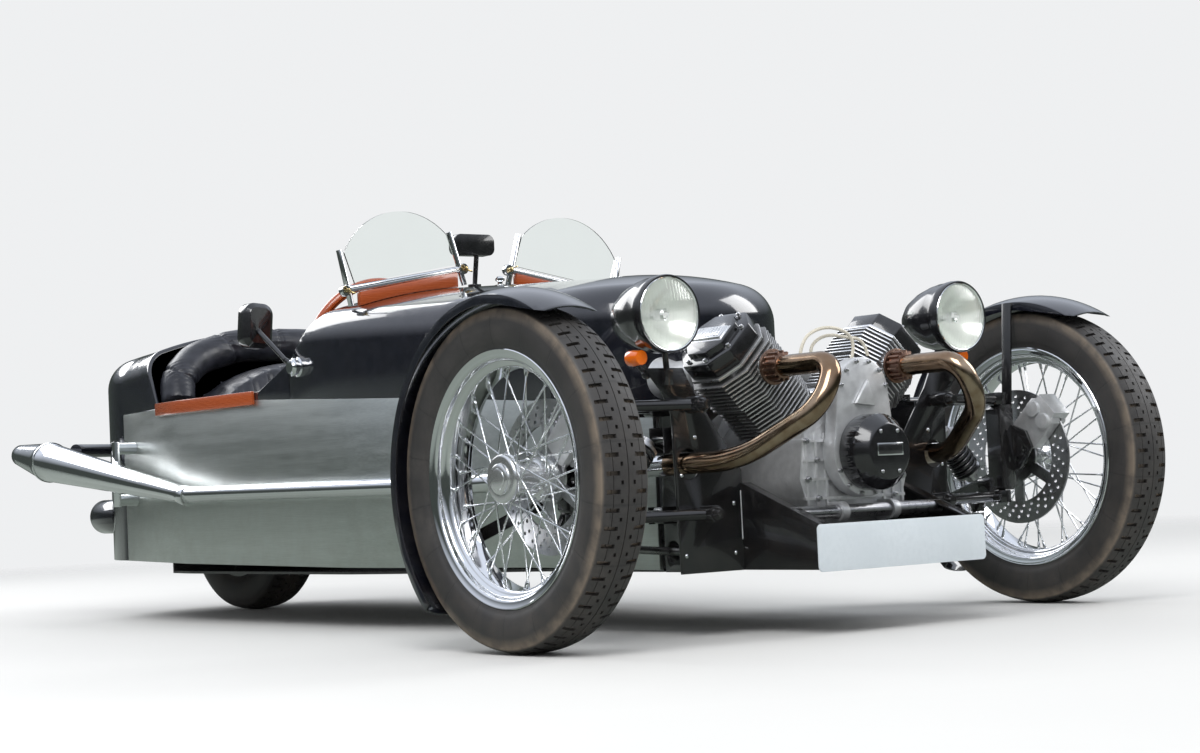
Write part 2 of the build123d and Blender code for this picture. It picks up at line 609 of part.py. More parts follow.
def front_frame():
    """Welded front frame: bulkhead, cradle, nose box, firewall, pivots and floor rails."""
    shape = None
    for side in (0, 1):
        half = bulkhead_plate().fuse(cradle_plate())
        box = block(NOSE_BOX_HALF - PLATE, NOSE_BOX_HALF, BULKHEAD_Y, FIREWALL_Y, FRAME_LOW, NOSE_BOX_TOP)
        pivot_y, pivot_z = REAR_PIVOT
        rail_low = FRAME_LOW + FLOOR_THICK
        inner, outer = RAIL_X - RAIL_WIDTH / 2, RAIL_X + RAIL_WIDTH / 2
        rail = block(inner, outer, FIREWALL_Y, pivot_y + 25, rail_low, rail_low + RAIL_HEIGHT)
        pivot_ear = block(outer - 6, outer, pivot_y - 25, pivot_y + 25, rail_low, pivot_z + 25)
        half = half.fuse(box, rail, pivot_ear)
        upper_ears = pivot_bracket(UPPER_PIVOT, UPPER_REAR_PIVOT_Y)
        half = half.fuse(upper_ears, pivot_bracket(LOWER_PIVOT, LOWER_REAR_PIVOT_Y))
        tie_rod = (RACK_BAR_END, STEER_ARM_Y, RACK_Z), (STEER_ARM_X, STEER_ARM_Y, STEER_ARM_Z)
        half = half.cut(rod(*tie_rod, TIE_ROD_R + TIE_ROD_ROOM))
        top = Vector(*COIL_HIGH)
        for ear_y in (-DAMPER_R - EAR_THICK, DAMPER_R):
            ear = block(NOSE_BOX_HALF - 2, top.X + 10, ear_y, ear_y + EAR_THICK, top.Z - 26, top.Z + 24)
            half = half.fuse(ear)
        half = half.fuse(rod((top.X, -DAMPER_R - 5, top.Z), (top.X, DAMPER_R + 5, top.Z), 8))
        half = half.fuse(front_pivot(UPPER_PIVOT), front_pivot(LOWER_PIVOT))
        half = mirrored(half) if side else half
        shape = half if shape is None else shape.fuse(half)
    half, front = CRADLE_HALF, CRADLE_FRONT
    floor_plate = block(-half, half, front, FIREWALL_Y, FRAME_LOW, FRAME_LOW + PLATE)
    front_plate = block(-half, half, front, front + PLATE, FRAME_LOW, CRADLE_TOP_FRONT)
    y, z = MOUNT_TUBE
    tube = rod((-CRADLE_HALF, y, z), (CRADLE_HALF, y, z), MOUNT_TUBE_R)
    half = NOSE_BOX_HALF
    firewall = block(-half, half, FIREWALL_Y, FIREWALL_Y + PLATE, FRAME_LOW, NOSE_BOX_TOP)
    window = rod((0, FIREWALL_Y - 9, CRANK_Z), (0, FIREWALL_Y + 19, CRANK_Z), ENGINE_WINDOW_R)
    notch = block(-ENGINE_WINDOW_R, ENGINE_WINDOW_R, FIREWALL_Y - 9, FIREWALL_Y + 19, CRANK_Z, 480)
    low = FRAME_LOW + FLOOR_THICK
    cross = block(-RAIL_X, RAIL_X, 520, 560, low, low + RAIL_HEIGHT)
    rear_cross = block(-RAIL_X, RAIL_X, FLOOR_END - 10, FLOOR_END + 30, low, low + RAIL_HEIGHT)
    firewall = firewall.cut(window, notch)
    return shape.fuse(floor_plate, front_plate, tube, firewall, nose_deck(), cross, rear_cross)


def front_pivot(pivot):
    """Bolt that stands ahead of the bulkhead for a front wishbone bush, with its domed nut."""
    x, y, z = pivot
    back = BULKHEAD_Y - PLATE
    front = y - BUSH_HALF - SEAT_GAP
    washer = rod((x, y + BUSH_HALF + SEAT_GAP, z), (x, back + 1, z), 2 * PIVOT_BOLT_R)
    bolt = rod((x, front - 10, z), (x, back + 1, z), PIVOT_BOLT_R)
    dome = rod((x, front - 14, z), (x, front, z), BUSH_R - 8, BUSH_R - 3)
    return washer.fuse(bolt, dome)


# Engine

def engine_frame(side):
    """Local frame of one cylinder: Z along its axis from the crankshaft. Side 1 is the left."""
    return Pos(0, CYLINDER_Y, CRANK_Z) * Rot(0, side * V_HALF_ANGLE, 0)


def fin_plate(half, thick):
    """One eight-sided cooling fin."""
    c = FIN_CHAMFER * half / FIN_HALF
    outline = [(half, half - c), (half - c, half), (c - half, half), (-half, half - c),
               (-half, c - half), (c - half, -half), (half - c, -half), (half, c - half)]
    return extrude(make_face(Polyline(*outline, close=True)), amount=thick)


def cylinder(side):
    """Finned barrel and head of one cylinder, with its exhaust port boss."""
    base = Pos(0, 0, DECK_S) * fin_plate(BARREL_FIN_HALF - 14, 7)
    barrel = rod((0, 0, DECK_S), (0, 0, HEAD_S), BARREL_CORE_R)
    core = HEAD_CORE_HALF
    head = block(-core, core, -core, core, HEAD_S, COVER_S)
    fins = []
    count = int((COVER_S - DECK_S - 14) / FIN_PITCH)
    for index in range(count):
        at = DECK_S + 13 + index * FIN_PITCH
        half = FIN_HALF if at > HEAD_S else BARREL_FIN_HALF
        fins.append(Pos(0, 0, at) * fin_plate(half, FIN_THICK))
    deck = Pos(0, 0, COVER_S - 6) * fin_plate(FIN_HALF - 6, 6)
    shape = engine_frame(side) * base.fuse(barrel, head, *fins, deck)
    x, y, z = PORT
    boss = rod((side * x, y + 54, z), (side * x, y, z), 31)
    inlet = rod((side * x, CYLINDER_Y + 50, z), (side * x, CYLINDER_Y + FIN_HALF + 8, z), 26)
    return shape.fuse(boss, inlet)


def rocker_cover(side):
    """Angular rocker cover on the head's deck."""
    low, high = FIN_HALF - 10, FIN_HALF - 30
    base = Pos(0, 0, COVER_S) * fin_plate(low, COVER_TOP_S - COVER_S - 14)
    top = Pos(0, 0, COVER_TOP_S - 14) * fin_plate(high, 14)
    bar = Pos(0, 0, COVER_TOP_S) * Box(34, 2 * high - 20, 6, align=(Align.CENTER, Align.CENTER, Align.MIN))
    return engine_frame(side) * base.fuse(top, bar)


def crankcase():
    """Crankcase with its V decks, ribbed lower sides, finned sump and mounting lugs."""
    lean = radians(V_HALF_ANGLE)
    deck_x, deck_z = DECK_S * sin(lean), CRANK_Z + DECK_S * cos(lean)
    reach_x, reach_z = DECK_REACH * cos(lean), DECK_REACH * sin(lean)
    right = [(deck_x - reach_x, deck_z + reach_z), (deck_x + reach_x, deck_z - reach_z),
             (146, 300), (120, 222)]
    outline = right + [(-x, z) for x, z in reversed(right)]
    shape = front_prism(outline, CASE_FRONT, CASE_REAR)
    sump = block(-SUMP_HALF, SUMP_HALF, CASE_FRONT + 8, 40, SUMP_LOW, 230)
    slots = [block(x - 5, x + 5, CASE_FRONT - 1, 50, SUMP_LOW - 1, SUMP_LOW + 46)
             for x in range(-72, 73, 24)]
    shape = shape.fuse(sump.cut(*slots))
    ribs = []
    for x in (-130, -104, -78, 78, 104, 130):
        ribs.append(block(x - 3, x + 3, CASE_FRONT - CASE_RIB, CASE_FRONT + 5, 248, 392))
    for z in (262, 300, 338, 376):
        ribs.append(block(-136, 136, CASE_FRONT - CASE_RIB, CASE_FRONT + 5, z - 3, z + 3))
    y, z = MOUNT_TUBE
    for x in (-70, 70):
        lug = block(x - 9, x + 9, y, CASE_FRONT + 5, z - 20, z + 20)
        ribs.append(lug.fuse(rod((x - 9, y, z), (x + 9, y, z), 20)))
    shape = shape.fuse(*ribs)
    return shape.cut(rod((-100, y, z), (100, y, z), MOUNT_TUBE_R + SEAT_GAP))


def timing_cover():
    """Pear-shaped timing cover on the crankcase's front."""
    top = Pos(0, TIMING_RISE) * Circle(TIMING_TOP_R)
    waist = make_face(Polyline((-TIMING_R + 4, 10), (-TIMING_TOP_R, TIMING_RISE),
                               (TIMING_TOP_R, TIMING_RISE), (TIMING_R - 4, 10), close=True))
    outline = Circle(TIMING_R) + top + waist
    front = CASE_FRONT - CASE_RIB - SEAT_GAP
    place = Plane(origin=(0, front, CRANK_Z), x_dir=(1, 0, 0), z_dir=(0, -1, 0))
    return place * extrude(outline, amount=front - TIMING_FRONT)


def alternator_cover():
    """Round cover with a chamfered front and a raised blank pad."""
    depth = TIMING_FRONT - SEAT_GAP - ALTERNATOR_FRONT
    outline = Polyline((0, 0), (0, ALTERNATOR_R), (depth * 0.62, ALTERNATOR_R), (depth, ALTERNATOR_R * 0.72),
                       (depth, 0), close=True)
    body = turned(make_face(outline))
    place = Plane(origin=(0, TIMING_FRONT - SEAT_GAP, CRANK_Z), x_dir=(0, -1, 0), z_dir=(0, 0, 1))
    return place * body


def gearbox():
    """Bell housing and gearbox behind the engine, as one plain closed form."""
    bell = rod((0, CASE_REAR + SEAT_GAP, CRANK_Z), (0, BELL_END, CRANK_Z), 148, 92)
    box = block(-92, 92, BELL_END - 1, 510, 252, 430)
    shaft = rod((0, 505, 286), (0, FLOOR_END - 25, 162), 22)
    foot = block(-70, 70, 518, 562, FRAME_LOW + FLOOR_THICK + RAIL_HEIGHT + SEAT_GAP, 262)
    return bell.fuse(box, foot.fuse(block(-70, 70, 480, 562, 250, 275)), shaft)


def intake(side):
    """Carburettor behind one cylinder head, with a short manifold and filter bell."""
    x, _, z = PORT
    start = CYLINDER_Y + FIN_HALF + 8 + SEAT_GAP
    manifold = rod((side * x, start, z), (side * x, start + 46, z), 22)
    body = rod((side * x, start + 40, z), (side * x, start + 116, z), 32)
    bell = rod((side * x, start + 112, z), (side * x, start + 160, z), 30, 44)
    return manifold.fuse(body, bell)


# Exhaust on the left side

def exhaust():
    """Header, side pipe and megaphone silencer with its finned clamp nut, weld rings and stay."""
    x, y, z = PORT
    start = (x, y - SEAT_GAP, z)
    points = [start, *HEADER_CORNERS, SIDE_PIPE_END]
    pipe = bent_pipe(points, HEADER_BENDS, HEADER_R)
    nut = rod(start, (x, y - NUT_LENGTH, z), NUT_R - 6)
    flange = rod(start, (x, y - 6, z), NUT_R + 5)
    fins = [Pos(x, y - NUT_LENGTH / 2 - 1, z) * Rot(0, index * 180 / NUT_FIN_PAIRS, 0)
            * Box(5, NUT_LENGTH - 4, 2 * NUT_R) for index in range(NUT_FIN_PAIRS)]
    return pipe.fuse(nut, flange, *fins, silencer())


def silencer():
    """Megaphone that widens to the rear and closes in a short reverse cone."""
    low, tip = Vector(*SIDE_PIPE_END), Vector(*SILENCER_TIP)
    axis = tip - low
    length = axis.length
    wide = SILENCER_WIDEST * length
    points = [(-30, 0), (-30, HEADER_R + 5), (6, HEADER_R + 5), (6, HEADER_R + 1), (wide, SILENCER_R - 3),
              (wide, SILENCER_R), (wide + 10, SILENCER_R), (wide + 10, SILENCER_R - 3),
              (length - 20, SILENCER_TAIL_R + 9), (length, SILENCER_TAIL_R), (length, 0)]
    body = turned(make_face(Polyline(*points, close=True)))
    placed = Plane(origin=low, x_dir=axis, z_dir=axis.cross(Vector(1, 0, 0)) * -1) * body
    share = (SILENCER_STAY_Y - low.Y) / axis.Y
    centre_z = low.Z + share * axis.Z
    panel = between(BODY_PLAN, SILENCER_STAY_Y - BOBBIN_R) + SEAT_GAP
    here_r = HEADER_R + 1 + (SILENCER_R - 4 - HEADER_R) * share / SILENCER_WIDEST
    plate_x = low.X - here_r - 3
    stay_front, stay_back = SILENCER_STAY_Y - 18, SILENCER_STAY_Y + 18
    strap = block(plate_x, plate_x + 6, stay_front, stay_back, centre_z - 88, centre_z + 88)
    shape = placed.fuse(strap)
    for z in (centre_z - 70, centre_z + 70):
        shape = shape.fuse(rod((panel, SILENCER_STAY_Y, z), (plate_x + 1, SILENCER_STAY_Y, z), BOBBIN_R))
    return shape


# Body

def body_outline(station, inset, foot):
    """Outline of the body at a station, in the XY plane: upright sides, round shoulders, crowned top."""
    half = between(BODY_PLAN, station) - inset
    top = between(CROWN, station) - inset
    shoulder = between(SHOULDER, station) - 0.8 * inset
    lines = Polyline((-half, shoulder), (-half, foot), (half, foot), (half, shoulder))
    lines += ThreePointArc((half, shoulder), (0, top), (-half, shoulder))
    face = make_face(lines)
    corners = [v for v in face.vertices() if v.Y > foot + 1]
    return fillet(corners, SHOULDER_ROUND - inset)


def section(station, inset=0.0, foot=440.0):
    """Cross-section of the body, standing at its station."""
    place = Plane(origin=(0, station, 0), x_dir=(-1, 0, 0), z_dir=(0, 1, 0))
    return place * body_outline(station, inset, foot)


def body_loft(inset, low):
    """Upper body as straight-sided lofts from section to section."""
    stations = sorted({row[0] for row in BODY_PLAN + CROWN})
    if inset:
        stations = [*stations[:-1], stations[-1] + 5]
    return loft([section(y, inset, low) for y in stations], ruled=True)


def skin():
    """The closed upper body grown by the seat gap, to seat what stands on it."""
    return body_loft(-SEAT_GAP, 400.0)


def round_end(station, inset, foot, turn):
    """Half of the outline at a station, turned about an upright axis there: a round nose or tail."""
    right = Pos(500, 500) * Rectangle(1000, 1400)
    profile = Plane.XZ * (body_outline(station, inset, foot) & right)
    return Pos(0, station, 0) * revolve(profile, axis=Axis.Z, revolution_arc=turn)


def nose_dome(inset, foot):
    """Round nose of the bonnet."""
    return round_end(NOSE_Y, inset, foot, -180)


def tail_dome(inset):
    """Round tail."""
    return round_end(TAIL_Y, inset, TAIL_LOW - inset, 180)


def upper_body():
    """Shell of the upper body from the nose to the tail, ahead of any cockpit cut."""
    outer = body_loft(0.0, 440.0).fuse(nose_dome(0.0, 440.0))
    inner = body_loft(SHELL_WALL, 400.0).fuse(nose_dome(SHELL_WALL, 400.0))
    below = side_cut([(-200, 0), (-200, SEAM[0][1]), *SEAM, (2 * TAIL_Y, SEAM[-1][1]), (2 * TAIL_Y, 0)])
    return outer.cut(inner, below)


def cockpit_cut():
    """Prism that opens the cockpit: steep at its front, low along the sills, up again behind."""
    points = [(COCKPIT_FRONT, 1200.0), (COCKPIT_FRONT, 770.0), (COCKPIT_FRONT + 120, 640.0),
              (COCKPIT_SILL_START, COCKPIT_SILL), (COCKPIT_SILL_END, COCKPIT_SILL),
              (COCKPIT_REAR - 90, 640.0), (COCKPIT_REAR, 770.0), (COCKPIT_REAR, 1200.0)]
    return side_cut(points)


def slab(y0, y1):
    """Everything between two stations."""
    return block(-900, 900, y0, y1, 0, 1400)


def tail_shell(upper):
    """Rear deck, sills and the round tail, open below for the rear wheel."""
    deck = upper.cut(slab(0, SCUTTLE_END), cockpit_cut())
    lower = tail_dome(0.0).cut(tail_dome(SHELL_WALL))
    return deck.fuse(lower)


def plan_band(inset0, inset1, y0, y1):
    """Left side of the body's plan as a band between two insets."""
    outer, inner = [], []
    rows = [y0] + [row[0] for row in BODY_PLAN if y0 < row[0] < y1] + [y1]
    for y in rows:
        outer.append((between(BODY_PLAN, y) - inset0, y))
        inner.append((between(BODY_PLAN, y) - inset1, y))
    return make_face(Polyline(*outer, *reversed(inner), close=True))


def under_seam(gap):
    """Everything below the seam and above the sills' lower edge."""
    seam = [(y, z - gap) for y, z in SEAM]
    low_rear = BODY_LOW_REAR + (BODY_LOW_REAR - FRAME_LOW) / 2
    return side_cut([(-200, FRAME_LOW), (-200, seam[0][1]), *seam, (1.2 * TAIL_Y, seam[-1][1]),
                     (1.2 * TAIL_Y, low_rear)])


def side_panel():
    """Left aluminium side panel, one sheet from the nose to the tail."""
    band = extrude(plan_band(0.0, PANEL_WALL, PANEL_START, TAIL_Y - SHUT_LINE), amount=900)
    return band & under_seam(SEAT_GAP)


def floor_pan():
    """Floor and the upright wall ahead of the rear wheel."""
    rows = [PANEL_START] + [row[0] for row in BODY_PLAN if PANEL_START < row[0] < FLOOR_END] + [FLOOR_END]
    outline = [(between(BODY_PLAN, y) - PANEL_WALL - SEAT_GAP, y) for y in rows]
    plan = make_face(Polyline(*outline, *[(-x, y) for x, y in reversed(outline)], close=True))
    plate = Pos(0, 0, FRAME_LOW) * extrude(plan, amount=FLOOR_THICK)
    wall_rear = WHEEL_WALL_Y + WHEEL_WALL_THICK
    half = between(BODY_PLAN, wall_rear) - PANEL_WALL - SEAT_GAP
    wall = block(-half, half, WHEEL_WALL_Y, wall_rear, FRAME_LOW, 520)
    lip = block(-half, half, FLOOR_END - 2, wall_rear, FRAME_LOW, FRAME_LOW + FLOOR_THICK)
    rail_half = RAIL_WIDTH / 2 + SEAT_GAP
    top = FRAME_LOW + FLOOR_THICK + RAIL_HEIGHT + SEAT_GAP
    for x in (-RAIL_X, RAIL_X):
        notch = block(x - rail_half, x + rail_half, FLOOR_END, FLOOR_END + 60, FRAME_LOW + FLOOR_THICK, top)
        wall = wall.cut(notch)
    return plate.fuse(lip, wall)


def seat():
    """Bench cushion and squab, as plain soft solids."""
    base = FRAME_LOW + FLOOR_THICK + RAIL_HEIGHT + SEAT_GAP
    wall = WHEEL_WALL_Y - SEAT_GAP
    front = wall - SEAT_DEPTH
    cushion = side_cut([(front, base), (front, 322), (front + 40, 340), (wall - 156, 300),
                        (wall - 116, base)], SEAT_HALF)
    cushion = cushion.cut(block(-SHAFT_TUNNEL, SHAFT_TUNNEL, front - 100, wall, 0, 242))
    half = SQUAB_HALF
    squab = side_cut([(wall - 136, 320), (wall - 176, 420), (wall - 66, 660), (wall - 16, 704),
                      (wall + 132, 704), (wall + 112, 640), (wall, 520), (wall - 26, 330)], half)
    arch = Polyline((half, SQUAB_SIDE), (half, 300), (-half, 300), (-half, SQUAB_SIDE))
    arch += ThreePointArc((-half, SQUAB_SIDE), (0, SQUAB_TOP), (half, SQUAB_SIDE))
    squab = squab & extrude(Plane.XZ.offset(300 - wall) * make_face(arch), amount=-600)
    return [cushion, squab.cut(coaming(COAMING_R + 2))]


def coaming(radius):
    """Leather bolster round the back of the cockpit, seated on the tail's edge."""
    half = between(BODY_PLAN, COCKPIT_SILL_END) - SHELL_WALL
    right = [(-(half - 50), COCKPIT_SILL_END - 12, 570), (-(half - 64), COCKPIT_SILL_END + 23, 640),
             (-(half - 148), COCKPIT_SILL_END + 75, 702), (-118, COCKPIT_SILL_END + 101, 742)]
    points = right + [(-x, y, z) for x, y, z in reversed(right)]
    return bent_pipe(points, [110.0, 160.0, 300.0, 300.0, 160.0, 110.0], radius)


def wood_trim():
    """Varnished rail on the left sill, outside the panel."""
    band = extrude(plan_band(-TRIM_THICK - SEAT_GAP, -SEAT_GAP, TRIM_START, TRIM_END), amount=900)
    top = COCKPIT_SILL + 2
    return band & block(-900, 900, TRIM_START, TRIM_END, top - TRIM_HEIGHT, top)


def column_frame():
    """Frame of the steering wheel: Z along the column, towards the driver."""
    x, y, z = STEERING_WHEEL
    return Pos(x, y, z) * Rot(COLUMN_TILT - 90, 0, 0)


def dashboard():
    """Dashboard under the scuttle's rear edge, with a hole for the column."""
    face = section(DASH_Y, SHELL_WALL + 2 * SEAT_GAP, 470.0)
    board = extrude(face, amount=DASH_THICK / 2, both=True)
    hole = column_frame() * Pos(0, 0, -COLUMN_LENGTH / 2) * Cylinder(COLUMN_R + RUNNING_GAP, COLUMN_LENGTH)
    return board.cut(hole)


# Screens, mirrors, lamps and other fittings

def screen_post(index):
    """One polished post of the left screen, from its foot to its top."""
    (x0, z0), (x1, z1) = SCREEN_FOOT[index], SCREEN_TOP[index]
    x0 = x0 + (8 if index == 0 else -4)
    post = rod((x0, SCREEN_Y, z0), (x1, SCREEN_Y, z1), SCREEN_POST / 2)
    return post


def screen_frame():
    """Two posts joined by a rail that holds the glass along its foot."""
    inner, outer = SCREEN_BASE
    rail_end = (outer[0] + 12, SCREEN_Y, outer[1] + 2)
    rail = rod((inner[0] + 8, SCREEN_Y, inner[1] + 4), rail_end, SCREEN_POST / 2)
    return screen_post(0).fuse(screen_post(1), rail).cut(skin())


def screen_glass():
    """Glass with an arched top, between the posts."""
    (xi, zi), (xo, zo) = SCREEN_BASE
    (ti, tzi), (to, tzo) = SCREEN_TOP
    edge = SCREEN_POST / 2 + 2.1
    inner_top, outer_top = (ti + edge, tzi - 6), (to - edge - 4, tzo - 6)
    lines = Polyline(inner_top, (xi + 22 + edge, zi + 12), (xo - edge + 3, zo + 14), outer_top)
    lines += ThreePointArc(outer_top, SCREEN_ARCH, inner_top)
    place = Plane(origin=(0, SCREEN_Y + GLASS_THICK / 2, 0), x_dir=(1, 0, 0), z_dir=(0, -1, 0))
    return extrude(place * make_face(lines), amount=GLASS_THICK)


def screen_base():
    """Wood wedge between the scuttle and the rail of the left screen."""
    (xi, zi), (xo, zo) = SCREEN_BASE
    edge = SCREEN_POST / 2
    outline = [(xi + 31, zi - edge), (xo - 16, zo - edge + 2), (xo - 16, zo - 75), (xi + 31, zi - 75)]
    wedge = front_prism(outline, SCREEN_Y - 9, SCREEN_Y + 9)
    return wedge.cut(skin())


def side_mirror():
    """Round-cornered mirror on its stalk, on the right side of the scuttle."""
    foot = Vector(-between(BODY_PLAN, SIDE_MIRROR_Y) + 12, SIDE_MIRROR_Y, 622)
    joint = foot + Vector(-36, 23, 18)
    head = foot + Vector(-18, 186, 104)
    boss = rod(foot, foot + Vector(-26, 0, 0), 17).cut(skin())
    stalk = rod(foot + Vector(-20, 0, 0), joint, 7).fuse(rod(joint, head, 6))
    shell = Box(*SIDE_MIRROR)
    shell = fillet(shell.edges().filter_by(Axis.Y), 28)
    shell = chamfer(shell.faces().sort_by(Axis.Y)[0].edges(), 12)
    return boss.fuse(stalk, Pos(head.X + 6, head.Y + 16, head.Z + 11) * Rot(0, 5, 0) * shell)


def centre_mirror():
    """Interior mirror on a post at the middle of the scuttle."""
    y, base = CENTRE_MIRROR_Y, between(CROWN, CENTRE_MIRROR_Y)
    post = rod((0, y, base + 3), (0, y - 15, base + 88), 6)
    foot = rod((0, y, base - 5), (0, y, base + 8), 16).cut(skin())
    shell = Pos(-20, y - 23, base + 102) * Box(*CENTRE_MIRROR)
    shell = fillet(shell.edges().filter_by(Axis.Y), 18)
    return post.fuse(foot, shell)


def headlamp():
    """Left headlamp shell: a bullet with a rim, hollow behind its glass, on its bracket."""
    x, y, z = LAMP
    mouth = LAMP_GLASS_R + 1
    bullet = [(a, LAMP_R * share) for a, share in LAMP_BODY]
    outside = [(0, LAMP_R), (16, LAMP_R + 2), *bullet, (LAMP_LENGTH, 0)]
    inside = [(a - LAMP_WALL, LAMP_R * share - LAMP_WALL) for a, share in LAMP_BODY[1:]]
    inside = [(LAMP_LENGTH - LAMP_WALL, 0), *reversed(inside), (22, mouth), (0, mouth)]
    shell = turned(make_face(Polyline(*outside, *inside, close=True)))
    place = Plane(origin=(x, y, z), x_dir=(0, 1, 0), z_dir=(0, 0, 1))
    back = BULKHEAD_Y - PLATE - SEAT_GAP
    tab = block(x - 20, x - 2, back - 14, back, PLATE_TOP - 34, PLATE_TOP - 4)
    post = rod((x - 11, back - 7, PLATE_TOP - 10), (x - 6, y + 26, z - LAMP_R + 5), 6)
    return (place * shell).fuse(tab, post)


def headlamp_glass():
    """Domed glass and reflector unit of the left headlamp."""
    x, y, z = LAMP
    r = LAMP_GLASS_R - SEAT_GAP + 1
    rise = 13.0
    ball = (r ** 2 + rise ** 2) / (2 * rise)
    half_turn = atan2(r, ball - rise) / 2
    middle = (2 - rise + ball * (1 - cos(half_turn)), ball * sin(half_turn))
    outline = Polyline((2 - rise, 0), (18, 0), (18, r), (2, r))
    outline += ThreePointArc((2, r), middle, (2 - rise, 0))
    body = turned(make_face(outline))
    place = Plane(origin=(x, y, z), x_dir=(0, 1, 0), z_dir=(0, 0, 1))
    return place * body


def indicator():
    """Small round indicator under the left headlamp, on a stem from the back of the bulkhead plate."""
    x, y, z = INDICATOR
    foot_y = BULKHEAD_Y + SEAT_GAP
    foot = rod((x - 15, foot_y, PLATE_TOP - 12), (x - 15, foot_y + 6, PLATE_TOP - 12), 9)
    stem = rod((x - 15, foot_y + 4, PLATE_TOP - 12), (x, y, z - INDICATOR_R + 3), 4)
    lens = rod((x, y - 17, z), (x, y + 3, z), INDICATOR_R - 2, INDICATOR_R)
    return lens.fuse(rod((x, y + 3, z), (x, y + 17, z), INDICATOR_R), stem, foot)


def number_plate():
    """Blank number plate on the front of the cradle."""
    x, y, z = PLATE_CENTRE
    body = Pos(x, y, z) * Box(PLATE_LENGTH, 4, PLATE_HEIGHT)
    body = fillet(body.edges().filter_by(Axis.Y), 10)
    spacer = block(-60, 60, y + 2, CRADLE_FRONT - SEAT_GAP, z - 20, z + 20)
    return body.fuse(spacer)


def tail_lamp():
    """Round tail lamp seated on the left of the tail."""
    x, y, z = REAR_LAMP
    body = rod((x, y - 160, z), (x, y - 16, z), REAR_LAMP_R)
    lens = rod((x, y - 17, z), (x, y, z), REAR_LAMP_R - 5, REAR_LAMP_R - 12)
    return body.fuse(lens).cut(tail_dome(-SEAT_GAP))


def rear_bumper():
    """Arched bar behind the tail on two stays."""
    x, y, z = BUMPER_END
    arc = ThreePointArc((-x, y, z), (0, BUMPER_REAR, z), (x, y, z))
    start = Plane(origin=(-x, y, z), z_dir=arc % 0)
    bar = sweep(start * Circle(BUMPER_R), path=arc)
    for x in (-BUMPER_STAY_X, BUMPER_STAY_X):
        bar = bar.fuse(rod((x, y - 5, z), (x, BUMPER_REAR - 20, z), 10))
    return bar.cut(tail_dome(-SEAT_GAP))


def rear_arm():
    """Swinging arm that carries the rear axle, with its pivot tube behind the floor."""
    pivot_y, pivot_z = REAR_PIVOT
    pivot_end = RAIL_X + RAIL_WIDTH / 2 - 6 - SEAT_GAP
    arm_x = REAR_TYRE_HALF + 46
    shape = rod((-arm_x, WHEELBASE, REAR_TYRE_R), (arm_x, WHEELBASE, REAR_TYRE_R), AXLE_R)
    for side in (-1, 1):
        inner, outer = side * (arm_x - 20), side * (arm_x + 20)
        stub = rod((inner, pivot_y, pivot_z), (side * pivot_end, pivot_y, pivot_z), 20)
        arm = rod((side * arm_x, pivot_y, pivot_z), (side * arm_x, WHEELBASE, REAR_TYRE_R), 18)
        boss = rod((inner, WHEELBASE, REAR_TYRE_R), (outer, WHEELBASE, REAR_TYRE_R), 28)
        shape = shape.fuse(stub, arm, boss)
    return shape


def steering_wheel():
    """Three-spoked wheel on its column, turned to the driver."""
    ring = Torus(STEERING_WHEEL_R - STEERING_RIM_R, STEERING_RIM_R)
    shape = ring.fuse(Cylinder(32, 20))
    reach = STEERING_WHEEL_R - 8
    for angle in (30, 150, 270):
        shape = shape.fuse(Rot(0, 0, angle) * Pos(reach / 2, 0, 0) * Box(reach, 26, 5))
    shape = shape.fuse(Pos(0, 0, -COLUMN_LENGTH / 2) * Cylinder(COLUMN_R, COLUMN_LENGTH))
    return column_frame() * shape


def rack_housing():
    """Steering rack's tube below the bell housing, on two feet."""
    tube = rod((-RACK_HALF, STEER_ARM_Y, RACK_Z), (RACK_HALF, STEER_ARM_Y, RACK_Z), RACK_R)
    low = FRAME_LOW + PLATE + SEAT_GAP
    for x in (-150, 150):
        tube = tube.fuse(block(x - 12, x + 12, STEER_ARM_Y - 14, STEER_ARM_Y + 10, low, RACK_Z))
    left, right = (-RACK_BAR_END, STEER_ARM_Y, RACK_Z), (RACK_BAR_END, STEER_ARM_Y, RACK_Z)
    return tube.cut(rod(left, right, RACK_BAR_R + RUNNING_GAP))


def rack_bar():
    """Sliding rack with a tie rod out to each steering arm."""
    bar = rod((-RACK_BAR_END, STEER_ARM_Y, RACK_Z), (RACK_BAR_END, STEER_ARM_Y, RACK_Z), RACK_BAR_R)
    for side in (-1, 1):
        x = side * STEER_ARM_X
        inner_end = (side * RACK_BAR_END, STEER_ARM_Y, RACK_Z)
        bar = bar.fuse(rod(inner_end, (x, STEER_ARM_Y, STEER_ARM_Z), TIE_ROD_R))
        bar = bar.fuse(rod((x, STEER_ARM_Y, STEER_ARM_Z - 10), (x, STEER_ARM_Y, STEER_ARM_Z + 12), 14))
    return bar


